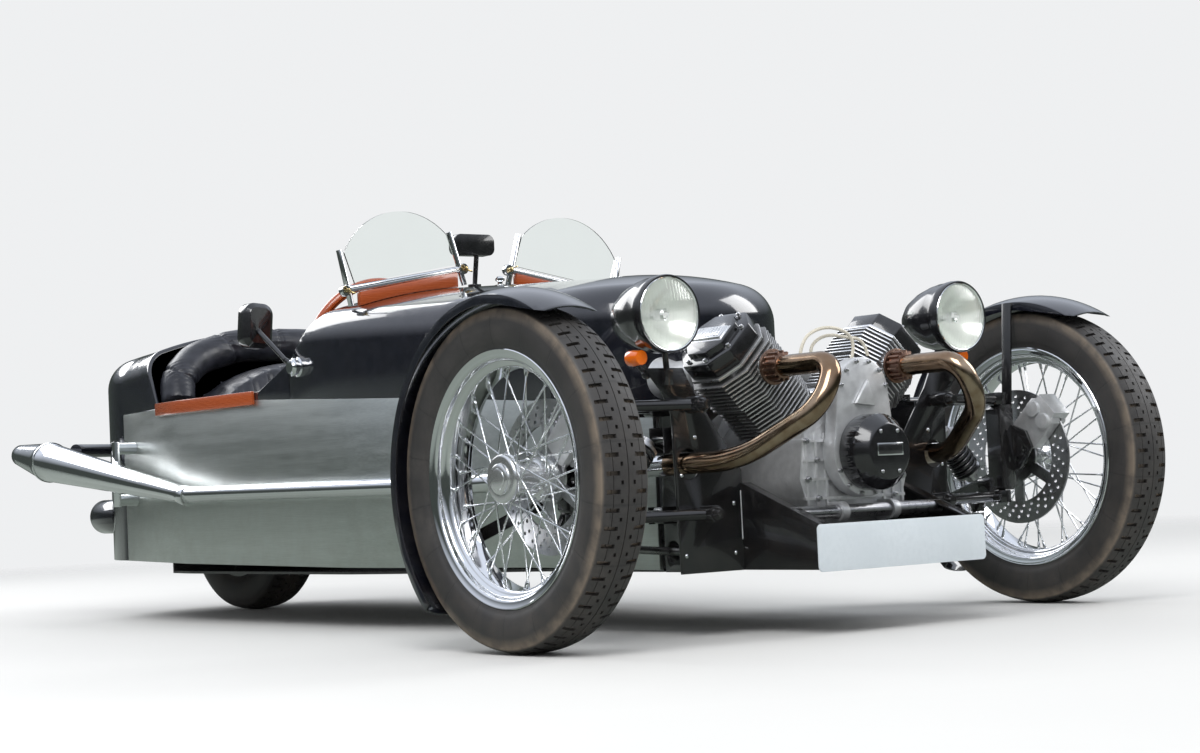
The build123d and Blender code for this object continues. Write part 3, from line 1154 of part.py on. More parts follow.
def main():
    """Write every sub-part."""
    os.makedirs("parts", exist_ok=True)

    tyre_piece = at_front_wheel(tyre(FRONT_TYRE_R, FRONT_TYRE_HALF, RIM_SEAT_R, RIM_HALF))
    wheel_piece = at_front_wheel(wire_wheel())
    for name, piece in (("tyre_front", tyre_piece), ("wheel_front", wheel_piece),
                        ("brake_disc", at_front_wheel(brake_disc())), ("upright", upright()),
                        ("caliper", caliper()), ("mudguard", mudguard())):
        write(f"{name}_left", piece)
        write(f"{name}_right", mirrored(piece))
    write("tyre_rear", at_rear_wheel(tyre(REAR_TYRE_R, REAR_TYRE_HALF, REAR_RIM_SEAT_R, REAR_RIM_HALF)))
    write("wheel_rear", at_rear_wheel(rear_wheel()))

    upper = upper_body()
    write("bonnet", upper & slab(0, BONNET_END - SHUT_LINE))
    write("scuttle", (upper & slab(BONNET_END, SCUTTLE_END - SHUT_LINE)).cut(cockpit_cut()))
    tail = tail_shell(upper)
    write("tail_shell", tail)
    write("side_panel_left", side_panel())
    write("side_panel_right", mirrored(side_panel()))
    write("floor_pan", floor_pan())
    write("seat", seat())
    write("coaming_pad", coaming(COAMING_R).cut(tail))
    write("wood_trims", pair(wood_trim()) + pair(screen_base()))
    write("dashboard", dashboard())

    write("front_frame", front_frame())
    write("rear_arm", rear_arm())
    write("upper_wishbones", pair(upper_wishbone()))
    write("lower_wishbones", pair(lower_wishbone()))
    write("coil_overs", pair(coil_over()))
    write("rack_housing", rack_housing())
    write("rack_bar", rack_bar())
    write("steering_wheel", steering_wheel())

    write("crankcase", crankcase())
    write("timing_cover", timing_cover())
    write("alternator_cover", alternator_cover())
    write("cylinder_left", cylinder(1))
    write("cylinder_right", cylinder(-1))
    write("rocker_covers", [rocker_cover(1), rocker_cover(-1)])
    write("gearbox", gearbox())
    write("carburettors", [intake(1), intake(-1)])
    write("exhaust_left", exhaust())
    write("exhaust_right", mirrored(exhaust()))

    write("screen_frames", pair(screen_frame()))
    write("screen_glass", pair(screen_glass()))
    write("mirrors", [side_mirror(), centre_mirror()])
    write("headlamp_shells", pair(headlamp()))
    write("headlamp_lenses", pair(headlamp_glass()))
    write("indicators", pair(indicator()))
    write("number_plate", number_plate())
    write("tail_lamps", pair(tail_lamp()))
    write("rear_bumper", rear_bumper())


main()
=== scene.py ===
"""Cyclecar with an air-cooled V-twin: finishes and hand-modelled pieces around the built frame.

Lengths are metres in the frame's own axes: the car faces -Y, its left side is +X and the floor is
Z = 0. A station is a length along the car, measured back from the front axle.
"""
from __future__ import annotations

import json
import logging
import math
from contextlib import contextmanager
from dataclasses import dataclass, replace
from enum import Enum
from typing import Callable, Iterable, Iterator, Optional, Sequence

import bpy
from mathutils import Matrix, Quaternion, Vector

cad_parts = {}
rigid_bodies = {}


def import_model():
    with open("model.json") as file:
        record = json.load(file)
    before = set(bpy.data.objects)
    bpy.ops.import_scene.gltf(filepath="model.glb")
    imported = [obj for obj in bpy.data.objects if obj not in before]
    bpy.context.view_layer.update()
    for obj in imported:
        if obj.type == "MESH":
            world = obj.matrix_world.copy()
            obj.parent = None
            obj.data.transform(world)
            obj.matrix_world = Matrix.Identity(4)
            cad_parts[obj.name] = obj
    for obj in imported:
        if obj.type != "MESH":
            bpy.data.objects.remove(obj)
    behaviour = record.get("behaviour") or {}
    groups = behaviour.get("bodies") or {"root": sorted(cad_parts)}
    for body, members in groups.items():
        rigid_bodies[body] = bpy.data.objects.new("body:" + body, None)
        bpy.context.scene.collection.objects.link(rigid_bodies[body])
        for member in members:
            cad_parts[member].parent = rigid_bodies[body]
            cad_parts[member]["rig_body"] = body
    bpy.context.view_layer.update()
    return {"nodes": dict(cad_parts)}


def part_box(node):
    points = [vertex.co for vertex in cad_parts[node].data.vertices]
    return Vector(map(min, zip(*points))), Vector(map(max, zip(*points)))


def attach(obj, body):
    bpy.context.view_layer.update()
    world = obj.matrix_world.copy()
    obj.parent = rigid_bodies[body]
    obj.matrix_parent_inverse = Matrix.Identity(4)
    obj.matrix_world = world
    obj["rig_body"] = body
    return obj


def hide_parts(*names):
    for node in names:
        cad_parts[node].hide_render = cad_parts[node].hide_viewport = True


LOG = logging.getLogger("cyclecar")
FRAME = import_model()

Colour = tuple[float, float, float]
Place = tuple[float, float, float]
Point = tuple[float, float]
Piece = bpy.types.Object
Socket = bpy.types.NodeSocket
Face = bpy.types.MeshPolygon

X_AXIS = Vector((1, 0, 0))
Y_AXIS = Vector((0, 1, 0))
Z_AXIS = Vector((0, 0, 1))
MERGE = 0.00002
SIDES = ((1, "left"), (-1, "right"))
CORNERS = ((-1, -1), (-1, 1), (1, -1), (1, 1))


class Slot(Enum):
    """The record's material slots."""

    ALUMINIUM_PANEL = "aluminium_panel"
    BLACK_PAINT = "black_paint"
    FRAME_BLACK = "frame_black"
    ENGINE_ALUMINIUM = "engine_aluminium"
    ENGINE_BLACK = "engine_black"
    CHROME = "chrome"
    STEEL = "steel"
    TYRE = "tyre"
    LEATHER = "leather"
    WOOD = "wood"
    GLASS = "glass"
    LAMP_GLASS = "lamp_glass"
    AMBER = "amber"
    RED = "red"
    PLATE = "plate"


class Pattern(Enum):
    """The surface patterns, each one shader node group."""

    GRAIN = "surface grain"
    STREAKS = "brushed streaks"
    LEATHER = "leather grain"
    WOOD = "wood figure"


# Shader nodes


class Wiring:
    """Adds and links nodes in one node tree."""

    def __init__(self, tree: bpy.types.NodeTree) -> None:
        """Keeps the tree that the nodes go into."""
        self.tree = tree

    def node(self, kind: str, inputs: Optional[dict] = None, **settings: object) -> bpy.types.Node:
        """Adds one node.

        Args:
            kind: the node's type name.
            inputs: socket name or number to a plain value or another node's socket.
            settings: the node's own properties.

        Returns:
            The new node.
        """
        made = self.tree.nodes.new(kind)
        for key, value in settings.items():
            setattr(made, key, value)
        for key, value in (inputs or {}).items():
            if isinstance(value, Socket):
                self.tree.links.new(value, made.inputs[key])
            else:
                made.inputs[key].default_value = value
        return made

    def maths(self, operation: str, a: object, b: object = 0.0, clamp: bool = False) -> Socket:
        """Adds a Math node and returns its result."""
        return self.node("ShaderNodeMath", {0: a, 1: b}, operation=operation, use_clamp=clamp).outputs[0]

    def times(self, a: object, b: object, clamp: bool = False) -> Socket:
        """Adds a Math node that multiplies and returns its result."""
        return self.maths("MULTIPLY", a, b, clamp)

    def spread(self, value: object, low: object, high: object, to_low: object = 0.0,
               to_high: object = 1.0) -> Socket:
        """Adds a Map Range node and returns its result."""
        sockets = {"Value": value, "From Min": low, "From Max": high, "To Min": to_low, "To Max": to_high}
        return self.node("ShaderNodeMapRange", sockets).outputs["Result"]

    def mix(self, share: object, first: object, second: object) -> Socket:
        """Adds a colour Mix node and returns its result."""
        return self.node("ShaderNodeMix", {0: share, 6: first, 7: second}, data_type="RGBA").outputs[2]

    def noise(self, vector: object, scale: object, detail: float) -> Socket:
        """Adds a Noise Texture node and returns its value."""
        sockets = {"Vector": vector, "Scale": scale, "Detail": detail}
        return self.node("ShaderNodeTexNoise", sockets).outputs[0]

    def mask(self, key: str, vector: object, **numbers: float) -> Socket:
        """Adds one of the mask groups and returns its mask."""
        made = self.node("ShaderNodeGroup", {"Vector": vector, **numbers}, node_tree=group(key))
        return made.outputs["Mask"]

    def link(self, sockets: object, **results: Socket) -> bpy.types.NodeTree:
        """Links results to the sockets that their keywords name, with spaces as underscores."""
        for key, result in results.items():
            self.tree.links.new(result, sockets[key.replace("_", " ")])
        return self.tree


def new_group(name: str, outputs: Sequence[str],
              **numbers: float) -> tuple[Wiring, bpy.types.NodeOutputs, bpy.types.NodeInputs]:
    """Starts a shader node group that takes a vector.

    Args:
        name: the group's name.
        outputs: names of its number outputs.
        numbers: its number inputs, with their defaults.

    Returns:
        The wiring, the given inputs, and the sockets that take the results.
    """
    tree = bpy.data.node_groups.new(name, "ShaderNodeTree")
    add = tree.interface.new_socket
    add(name="Vector", in_out="INPUT", socket_type="NodeSocketVector")
    for key, value in numbers.items():
        add(name=key, in_out="INPUT", socket_type="NodeSocketFloat").default_value = value
    for key in outputs:
        add(name=key, in_out="OUTPUT", socket_type="NodeSocketFloat")
    wiring = Wiring(tree)
    entry = wiring.node("NodeGroupInput")
    return wiring, entry.outputs, wiring.node("NodeGroupOutput").inputs


def grain_group() -> bpy.types.NodeTree:
    """Fine even grain, as on a casting or in paint."""
    wiring, given, out = new_group(Pattern.GRAIN.value, ["Mask", "Height"], Scale=100.0)
    fine = wiring.noise(given["Vector"], given["Scale"], 4.0)
    cloud = wiring.noise(given["Vector"], wiring.times(given["Scale"], 0.07), 3.0)
    mask = wiring.times(wiring.spread(cloud, 0.3, 0.7), wiring.spread(fine, 0.2, 0.6))
    return wiring.link(out, Mask=mask, Height=fine)


def streak_group() -> bpy.types.NodeTree:
    """Brush marks along the stretched direction of the given vector."""
    wiring, given, out = new_group(Pattern.STREAKS.value, ["Mask", "Height"], Scale=100.0)
    fine = wiring.noise(given["Vector"], given["Scale"], 5.0)
    broad = wiring.noise(given["Vector"], wiring.times(given["Scale"], 0.12), 2.0)
    mask = wiring.maths("ADD", wiring.times(fine, 0.55), wiring.times(broad, 0.45))
    return wiring.link(out, Mask=wiring.spread(mask, 0.3, 0.7), Height=fine)


def leather_group() -> bpy.types.NodeTree:
    """Pebbled leather grain with soft wrinkles."""
    wiring, given, out = new_group(Pattern.LEATHER.value, ["Mask", "Height"], Scale=300.0)
    cells = wiring.node("ShaderNodeTexVoronoi", {"Vector": given["Vector"], "Scale": given["Scale"]},
                        feature="SMOOTH_F1")
    folds = wiring.noise(given["Vector"], wiring.times(given["Scale"], 0.08), 3.0)
    height = wiring.maths("SUBTRACT", wiring.times(folds, 1.4), wiring.times(cells.outputs["Distance"], 0.6))
    return wiring.link(out, Mask=wiring.spread(folds, 0.35, 0.7), Height=height)


def wood_group() -> bpy.types.NodeTree:
    """Straight-grained varnished wood: bands pulled by slow noise, and fine pores."""
    wiring, given, out = new_group(Pattern.WOOD.value, ["Mask", "Height"], Scale=60.0)
    wave = {"Vector": given["Vector"], "Scale": given["Scale"], "Distortion": 5.0, "Detail": 3.0,
            "Detail Scale": 1.2}
    bands = wiring.node("ShaderNodeTexWave", wave, bands_direction="Z")
    pores = wiring.noise(given["Vector"], wiring.times(given["Scale"], 6.0), 4.0)
    mask = wiring.maths("ADD", wiring.times(bands.outputs[1], 0.6), wiring.times(pores, 0.4))
    return wiring.link(out, Mask=mask, Height=pores)


def dust_group() -> bpy.types.NodeTree:
    """Road dust: strongest near the floor and broken up by noise."""
    wiring, given, out = new_group("road dust", ["Mask"], Amount=0.2, Top=0.6)
    height = wiring.node("ShaderNodeSeparateXYZ", {0: given["Vector"]}).outputs["Z"]
    fade = wiring.spread(height, 0.0, given["Top"], 1.0, 0.15)
    mask = wiring.times(wiring.spread(wiring.noise(given["Vector"], 26.0, 6.0), 0.35, 0.75), fade)
    return wiring.link(out, Mask=wiring.times(mask, given["Amount"], clamp=True))


def wear_group() -> bpy.types.NodeTree:
    """Wear along raised edges."""
    wiring, given, out = new_group("edge wear", ["Mask"], Amount=0.3)
    edges = wiring.spread(wiring.node("ShaderNodeNewGeometry").outputs["Pointiness"], 0.53, 0.62)
    broken = wiring.times(edges, wiring.spread(wiring.noise(given["Vector"], 90.0, 4.0), 0.35, 0.6))
    return wiring.link(out, Mask=wiring.times(broken, given["Amount"], clamp=True))


def spoke_line_group() -> bpy.types.NodeTree:
    """Thin lines that run out from a centre, as a tyre's mould marks do, in the YZ plane."""
    wiring, given, out = new_group("mould lines", ["Mask"], Count=18.0, Width=0.02)
    parts = wiring.node("ShaderNodeSeparateXYZ", {0: given["Vector"]}).outputs
    turn = wiring.maths("DIVIDE", wiring.maths("ARCTAN2", parts["Z"], parts["Y"]), 2 * math.pi)
    phase = wiring.maths("FRACT", wiring.maths("ADD", wiring.times(turn, given["Count"]), 100.0))
    from_middle = wiring.maths("ABSOLUTE", wiring.maths("SUBTRACT", phase, 0.5))
    return wiring.link(out, Mask=wiring.maths("LESS_THAN", from_middle, given["Width"]))


def ring_group() -> bpy.types.NodeTree:
    """A soft-edged ring about the X axis, between two radii, broken up by noise."""
    wiring, given, out = new_group("dusty ring", ["Mask"], Inner=0.28, Outer=0.32)
    parts = wiring.node("ShaderNodeSeparateXYZ", {0: given["Vector"]}).outputs
    squares = [wiring.maths("POWER", wiring.maths("ABSOLUTE", parts[axis]), 2.0) for axis in "YZ"]
    radius = wiring.maths("SQRT", wiring.maths("ADD", *squares))
    rise = wiring.spread(radius, given["Inner"], given["Outer"])
    edge = wiring.spread(radius, given["Outer"], wiring.maths("ADD", given["Outer"], 0.004), 1.0, 0.0)
    patchy = wiring.spread(wiring.noise(given["Vector"], 34.0, 5.0), 0.2, 0.6)
    return wiring.link(out, Mask=wiring.times(wiring.times(rise, edge), patchy, clamp=True))


GROUP_MAKERS: dict[object, Callable[[], bpy.types.NodeTree]] = {
    Pattern.GRAIN: grain_group,
    Pattern.STREAKS: streak_group,
    Pattern.LEATHER: leather_group,
    Pattern.WOOD: wood_group,
    "dust": dust_group,
    "wear": wear_group,
    "lines": spoke_line_group,
    "ring": ring_group,
}
GROUPS: dict[object, bpy.types.NodeTree] = {}


def group(key: object) -> bpy.types.NodeTree:
    """Returns a shader node group, built the first time it is asked for."""
    if key not in GROUPS:
        GROUPS[key] = GROUP_MAKERS[key]()
    return GROUPS[key]


def material_named(name: str, wire: Callable[[Wiring, bpy.types.NodeInputs], None]) -> bpy.types.Material:
    """Returns the material of a name, wired the first time it is asked for.

    Args:
        name: the material's name.
        wire: adds its nodes, given the wiring and the shader's inputs.

    Returns:
        The material.
    """
    made = bpy.data.materials.get(name)
    if made is None:
        made = bpy.data.materials.new(name)
        made.use_nodes = True
        wire(Wiring(made.node_tree), made.node_tree.nodes["Principled BSDF"].inputs)
    return made


# Finishes

DUST = (0.32, 0.25, 0.18, 1.0)
MOULD_MARK = (0.02, 0.02, 0.02, 1.0)


@dataclass(frozen=True)
class Finish:
    """One finish: two colours broken up by a pattern, with its gloss, relief, dust and wear."""

    name: str
    slot: Slot
    colour: Colour
    second: Colour
    pattern: Pattern = Pattern.GRAIN
    size: float = 0.004
    stretch: Place = (1.0, 1.0, 1.0)
    centre: Place = (0.0, 0.0, 0.0)
    metallic: float = 0.0
    roughness: Point = (0.3, 0.45)
    relief: float = 0.0001
    coat: float = 0.0
    dust: float = 0.0
    wear: float = 0.0
    worn: Colour = (0.35, 0.34, 0.33)
    lines: float = 0.0
    ring: Point = (0.0, 0.0)

    def material(self) -> bpy.types.Material:
        """Returns the finish as a material."""
        return material_named(self.name, self.wire)

    def wire(self, wiring: Wiring, shader: bpy.types.NodeInputs) -> None:
        """Wires the pattern, then the mould marks, wear and dust over it.

        Args:
            wiring: the material's own.
            shader: the Principled shader's inputs.
        """
        shader["Metallic"].default_value = self.metallic
        shader["Coat Weight"].default_value = self.coat
        shader["Coat Roughness"].default_value = 0.04
        here = wiring.node("ShaderNodeTexCoord").outputs["Object"]
        moved = {"Vector": here, "Location": [-c for c in self.centre]}
        placed = wiring.node("ShaderNodeMapping", moved).outputs[0]
        scaled = wiring.node("ShaderNodeMapping", {"Vector": placed, "Scale": self.stretch}).outputs[0]
        figure = wiring.node("ShaderNodeGroup", {"Vector": scaled, "Scale": 1 / self.size},
                             node_tree=group(self.pattern)).outputs
        colour = wiring.mix(figure["Mask"], (*self.colour, 1), (*self.second, 1))
        rough = wiring.spread(figure["Mask"], 0.0, 1.0, *self.roughness)
        height = figure["Height"]
        if self.lines:
            marks = wiring.mask("lines", placed, Count=self.lines)
            colour = wiring.mix(wiring.times(marks, 0.5), colour, MOULD_MARK)
            height = wiring.maths("SUBTRACT", height, wiring.times(marks, 3.0))
        if self.ring[1]:
            brown = wiring.mask("ring", placed, Inner=self.ring[0], Outer=self.ring[1])
            colour = wiring.mix(wiring.times(brown, 0.5), colour, DUST)
        if self.wear:
            colour = wiring.mix(wiring.mask("wear", here, Amount=self.wear), colour, (*self.worn, 1))
        if self.dust:
            dusty = wiring.mask("dust", here, Amount=self.dust)
            colour = wiring.mix(dusty, colour, DUST)
            rough = wiring.maths("ADD", rough, wiring.times(dusty, 0.5), clamp=True)
        bump = wiring.node("ShaderNodeBump", {"Height": height, "Distance": self.relief, "Strength": 1.0})
        wiring.link(shader, Base_Color=colour, Roughness=rough, Normal=bump.outputs[0])

    def about(self, name: str, centre: Vector) -> "Finish":
        """The same finish with its pattern centred on a point."""
        return replace(self, name=name, centre=tuple(centre))


@dataclass(frozen=True)
class Glass:
    """Clear or tinted glass, fluted where it has relief."""

    name: str
    slot: Slot
    colour: Colour
    roughness: float = 0.02
    relief: float = 0.0
    size: float = 0.01
    shadow: float = 0.1

    def material(self) -> bpy.types.Material:
        """Returns the glass as a material."""
        return material_named(self.name, self.wire)

    def wire(self, wiring: Wiring, shader: bpy.types.NodeInputs) -> None:
        """Wires the tint, the thin shadow and the flutes.

        Args:
            wiring: the material's own.
            shader: the Principled shader's inputs.
        """
        for key, value in (("Transmission Weight", 1.0), ("Roughness", self.roughness), ("IOR", 1.45)):
            shader[key].default_value = value
        here = wiring.node("ShaderNodeTexCoord").outputs["Object"]
        smear = wiring.noise(here, 14.0, 4.0)
        tint = wiring.mix(smear, (*self.colour, 1), (*[c * 0.97 for c in self.colour], 1))
        path = wiring.node("ShaderNodeLightPath").outputs
        thin = wiring.spread(path["Is Shadow Ray"], 0.0, 1.0, 1.0, self.shadow)
        wiring.link(shader, Base_Color=tint, Alpha=thin)
        if self.relief:
            wave = {"Vector": here, "Scale": 0.3 / self.size, "Distortion": 0.0}
            flutes = wiring.node("ShaderNodeTexWave", wave, bands_direction="X").outputs[1]
            bump = wiring.node("ShaderNodeBump", {"Height": flutes, "Distance": self.relief})
            wiring.link(shader, Normal=bump.outputs[0])


BRUSHED_PANEL = Finish("brushed aluminium panel", Slot.ALUMINIUM_PANEL, (0.60, 0.63, 0.61),
                       (0.74, 0.77, 0.75), Pattern.STREAKS, size=0.0025, stretch=(1.0, 0.03, 1.0),
                       metallic=1.0, roughness=(0.30, 0.42), relief=0.00002, dust=0.15)
GLOSS_BLACK = Finish("gloss black paint", Slot.BLACK_PAINT, (0.006, 0.007, 0.012), (0.012, 0.013, 0.020),
                     size=0.0015, roughness=(0.10, 0.20), relief=0.000004, coat=1.0, dust=0.05)
FRAME_BLACK = Finish("black frame enamel", Slot.FRAME_BLACK, (0.007, 0.007, 0.008), (0.010, 0.010, 0.011),
                     size=0.003, roughness=(0.18, 0.24), relief=0.00001, coat=0.7, dust=0.03, wear=0.05)
CAST_ALUMINIUM = Finish("cast aluminium", Slot.ENGINE_ALUMINIUM, (0.56, 0.57, 0.58), (0.70, 0.71, 0.72),
                        size=0.0012, metallic=0.6, roughness=(0.34, 0.50), relief=0.00010, wear=0.4,
                        worn=(0.86, 0.86, 0.87), dust=0.04)
ENGINE_BLACK = Finish("black crackle enamel", Slot.ENGINE_BLACK, (0.007, 0.007, 0.008),
                      (0.014, 0.014, 0.016), size=0.0012, roughness=(0.16, 0.24), relief=0.00001,
                      coat=0.7, wear=0.04)
CHROME = Finish("polished chrome", Slot.CHROME, (0.80, 0.81, 0.83), (0.86, 0.87, 0.88), size=0.01,
                metallic=1.0, roughness=(0.04, 0.10), relief=0.000004, dust=0.04)
TURNED_ALUMINIUM = Finish("turned aluminium", Slot.CHROME, (0.74, 0.75, 0.76), (0.84, 0.85, 0.85),
                          size=0.006, metallic=0.9, roughness=(0.16, 0.26), relief=0.00001)
STEEL = Finish("machined steel", Slot.STEEL, (0.42, 0.42, 0.43), (0.58, 0.58, 0.59), Pattern.STREAKS,
               size=0.002, metallic=1.0, roughness=(0.22, 0.38), relief=0.00001, dust=0.1)
HEAT_TINT = Finish("heat-tinted pipe", Slot.CHROME, (0.24, 0.15, 0.09), (0.46, 0.36, 0.26), size=0.02,
                   metallic=1.0, roughness=(0.12, 0.24), relief=0.00001)
RUBBER = Finish("tyre rubber", Slot.TYRE, (0.026, 0.025, 0.025), (0.048, 0.045, 0.043), size=0.006,
                roughness=(0.50, 0.70), relief=0.00012, dust=0.06, lines=18.0, ring=(0.296, 0.316))
LEATHER = Finish("black leather", Slot.LEATHER, (0.010, 0.011, 0.016), (0.026, 0.028, 0.038),
                 Pattern.LEATHER, size=0.0022, roughness=(0.30, 0.46), relief=0.0002)
WOOD = Finish("varnished wood", Slot.WOOD, (0.26, 0.036, 0.008), (0.50, 0.105, 0.018), Pattern.WOOD,
              size=0.02, stretch=(0.35, 0.35, 2.0), roughness=(0.24, 0.34), relief=0.00002, coat=0.8)
PALE_PLATE = Finish("pale plate", Slot.PLATE, (0.62, 0.68, 0.72), (0.68, 0.74, 0.78), size=0.01,
                    roughness=(0.35, 0.5), relief=0.00001)
AMBER = Finish("amber lens", Slot.AMBER, (0.85, 0.14, 0.004), (0.95, 0.22, 0.01), size=0.003,
               roughness=(0.1, 0.2), relief=0.0001, coat=1.0)
RED = Finish("red lens", Slot.RED, (0.38, 0.006, 0.006), (0.55, 0.012, 0.01), size=0.003,
             roughness=(0.1, 0.2), relief=0.0001, coat=1.0)
CLEAR_GLASS = Glass("clear glass", Slot.GLASS, (0.93, 0.97, 0.95))
LAMP_GLASS = Glass("fluted lamp glass", Slot.LAMP_GLASS, (0.97, 0.98, 0.96), relief=0.0002, size=0.007)
REFLECTOR = Finish("lamp reflector", Slot.LAMP_GLASS, (0.90, 0.94, 0.90), (0.96, 0.98, 0.96), size=0.02,
                   metallic=0.6, roughness=(0.16, 0.26), relief=0.00001)
# Painted highlight: this brighter metal stands in for light catching the fin edges, the rocker cover's
# bridge bar and its ribs.
FIN_EDGE_HIGHLIGHT = Finish("painted fin edge highlight", Slot.ENGINE_ALUMINIUM, (0.74, 0.75, 0.76), (0.84, 0.84, 0.85),
                  size=0.002, metallic=0.9, roughness=(0.25, 0.38), relief=0.00002)
# Painted shade: this darker grey stands in for the shade in the gaps between the cylinder's fins.
FIN_GAP_SHADE = Finish("painted fin gap shade", Slot.ENGINE_ALUMINIUM, (0.20, 0.20, 0.20), (0.34, 0.34, 0.34), size=0.003,
                 metallic=0.7, roughness=(0.45, 0.6), relief=0.00006)
COPPER = Finish("tarnished copper", Slot.CHROME, (0.19, 0.105, 0.075), (0.38, 0.26, 0.20), size=0.004,
                metallic=1.0, roughness=(0.28, 0.42), relief=0.00004)
BRASS = Finish("brass", Slot.CHROME, (0.62, 0.46, 0.20), (0.74, 0.58, 0.30), size=0.004, metallic=1.0,
               roughness=(0.2, 0.32), relief=0.00002)
MIRROR_FACE = Finish("mirror silvering", Slot.CHROME, (0.86, 0.88, 0.88), (0.90, 0.91, 0.91), size=0.02,
                     metallic=1.0, roughness=(0.02, 0.05), relief=0.000001)
CREAM_LEAD = Finish("cream lead", Slot.PLATE, (0.62, 0.58, 0.48), (0.74, 0.70, 0.60), size=0.004,
                    roughness=(0.4, 0.55), relief=0.00003)
DIAL_FACE = Finish("dial face", Slot.PLATE, (0.78, 0.77, 0.72), (0.84, 0.83, 0.78), size=0.01,
                   roughness=(0.35, 0.45), relief=0.00001)


# Work on meshes


def lone(piece: Piece) -> None:
    """Selects one piece and nothing else."""
    bpy.ops.object.select_all(action="DESELECT")
    piece.select_set(True)
    bpy.context.view_layer.objects.active = piece


@contextmanager
def editing(piece: Piece, picked: bool = False) -> Iterator[None]:
    """Opens a piece in edit mode, with all of it selected or only its picked faces."""
    lone(piece)
    bpy.ops.object.mode_set(mode="EDIT")
    bpy.ops.mesh.select_mode(type="FACE" if picked else "VERT")
    if not picked:
        bpy.ops.mesh.select_all(action="SELECT")
    try:
        yield
    finally:
        bpy.ops.object.mode_set(mode="OBJECT")


def pick_faces(piece: Piece, test: Callable[[Face], bool]) -> int:
    """Selects the faces of a piece that pass a test.

    Args:
        piece: the mesh object, in object mode.
        test: says whether a face is wanted.

    Returns:
        How many faces are selected.
    """
    for item in (*piece.data.vertices, *piece.data.edges):
        item.select = False
    for face in piece.data.polygons:
        face.select = bool(test(face))
    return sum(face.select for face in piece.data.polygons)


def modify(piece: Piece, kind: str, **settings: object) -> None:
    """Adds one modifier to a piece and applies it."""
    lone(piece)
    added = piece.modifiers.new(kind.title(), kind)
    for key, value in settings.items():
        setattr(added, key, value)
    bpy.ops.object.modifier_apply(modifier=added.name)


def smooth(piece: Piece, degrees: float = 35.0) -> None:
    """Shades a piece smooth, apart from its corners."""
    lone(piece)
    bpy.ops.object.shade_smooth_by_angle(angle=math.radians(degrees))


def seal(piece: Piece) -> None:
    """Merges doubled vertices and points all faces outwards."""
    with editing(piece):
        bpy.ops.mesh.remove_doubles(threshold=MERGE)
        bpy.ops.mesh.normals_make_consistent(inside=False)


def turn_to(direction: Vector, start: Vector = Z_AXIS) -> Matrix:
    """Rotation that takes one direction to another, as a 4x4 matrix."""
    return start.rotation_difference(direction).to_matrix().to_4x4()


def lathe(name: str, profile: Sequence[Point], centre: Vector, axis: Vector = X_AXIS,
          steps: int = 96) -> Piece:
    """Turns a profile about an axis.

    Args:
        name: the new piece's name.
        profile: points of (length along the axis, radius).
        centre: where the profile's zero lies.
        axis: the direction of the profile's length.
        steps: how many steps a full turn takes.

    Returns:
        The turned piece.
    """
    bpy.ops.mesh.primitive_plane_add(size=0.001)
    piece = bpy.context.object
    piece.name = name
    with editing(piece):
        bpy.ops.mesh.merge(type="CENTER")
        bpy.ops.mesh.select_all(action="SELECT")
        bpy.ops.transform.translate(value=(profile[0][0], 0, profile[0][1]))
        for (a0, r0), (a1, r1) in zip(profile, profile[1:]):
            bpy.ops.mesh.extrude_region_move(TRANSFORM_OT_translate={"value": (a1 - a0, 0, r1 - r0)})
        bpy.ops.mesh.select_all(action="SELECT")
        bpy.ops.mesh.spin(steps=steps, angle=2 * math.pi, center=(0, 0, 0), axis=(1, 0, 0))
    seal(piece)
    piece.data.transform(Matrix.Translation(centre) @ turn_to(axis, X_AXIS))
    return piece


def loop(points: Sequence[Point]) -> list[Point]:
    """Closes a profile on its first point."""
    return [*points, points[0]]


def bar(name: str, start: Vector, end: Vector, radius: float, sides: int = 24,
        end_radius: float = -1.0) -> Piece:
    """Round bar or cone between two points, with softened ends."""
    tip = radius if end_radius < 0 else end_radius
    bpy.ops.mesh.primitive_cone_add(vertices=sides, radius1=radius, radius2=tip, depth=(end - start).length)
    piece = bpy.context.object
    piece.name = name
    modify(piece, "BEVEL", width=min(radius * 0.2, 0.0015), segments=2, limit_method="ANGLE")
    piece.data.transform(Matrix.Translation((start + end) / 2) @ turn_to((end - start).normalized()))
    return piece


def plate(name: str, outline: Sequence[Vector], thickness: Vector, edge: float = 0.0008) -> Piece:
    """Flat piece from an outline, as thick as the given vector, with softened edges."""
    bpy.ops.mesh.primitive_circle_add(vertices=len(outline), fill_type="NGON")
    piece = bpy.context.object
    piece.name = name
    for vertex, place in zip(piece.data.vertices, outline):
        vertex.co = place
    with editing(piece):
        bpy.ops.mesh.extrude_region_move(TRANSFORM_OT_translate={"value": thickness})
    seal(piece)
    if edge:
        modify(piece, "BEVEL", width=edge, segments=2, limit_method="ANGLE", angle_limit=math.radians(30))
    return piece


def join(name: str, pieces: Sequence[Piece]) -> Piece:
    """Joins pieces into one."""
    lone(pieces[0])
    for piece in pieces:
        piece.select_set(True)
    if len(pieces) > 1:
        bpy.ops.object.join()
    joined = bpy.context.view_layer.objects.active
    joined.name = name
    return joined


def scatter(name: str, template: Piece, places: Iterable[Matrix]) -> Piece:
    """Copies a template to each place, each copy with its own mesh, and joins the copies.

    Args:
        name: the joined piece's name.
        template: the piece to copy, which is removed afterwards.
        places: one matrix for each copy.

    Returns:
        The joined piece.
    """
    copies = []
    for place in places:
        copy = template.copy()
        copy.data = template.data.copy()
        bpy.context.scene.collection.objects.link(copy)
        copy.data.transform(place)
        copies.append(copy)
    bpy.data.objects.remove(template)
    return join(name, copies)


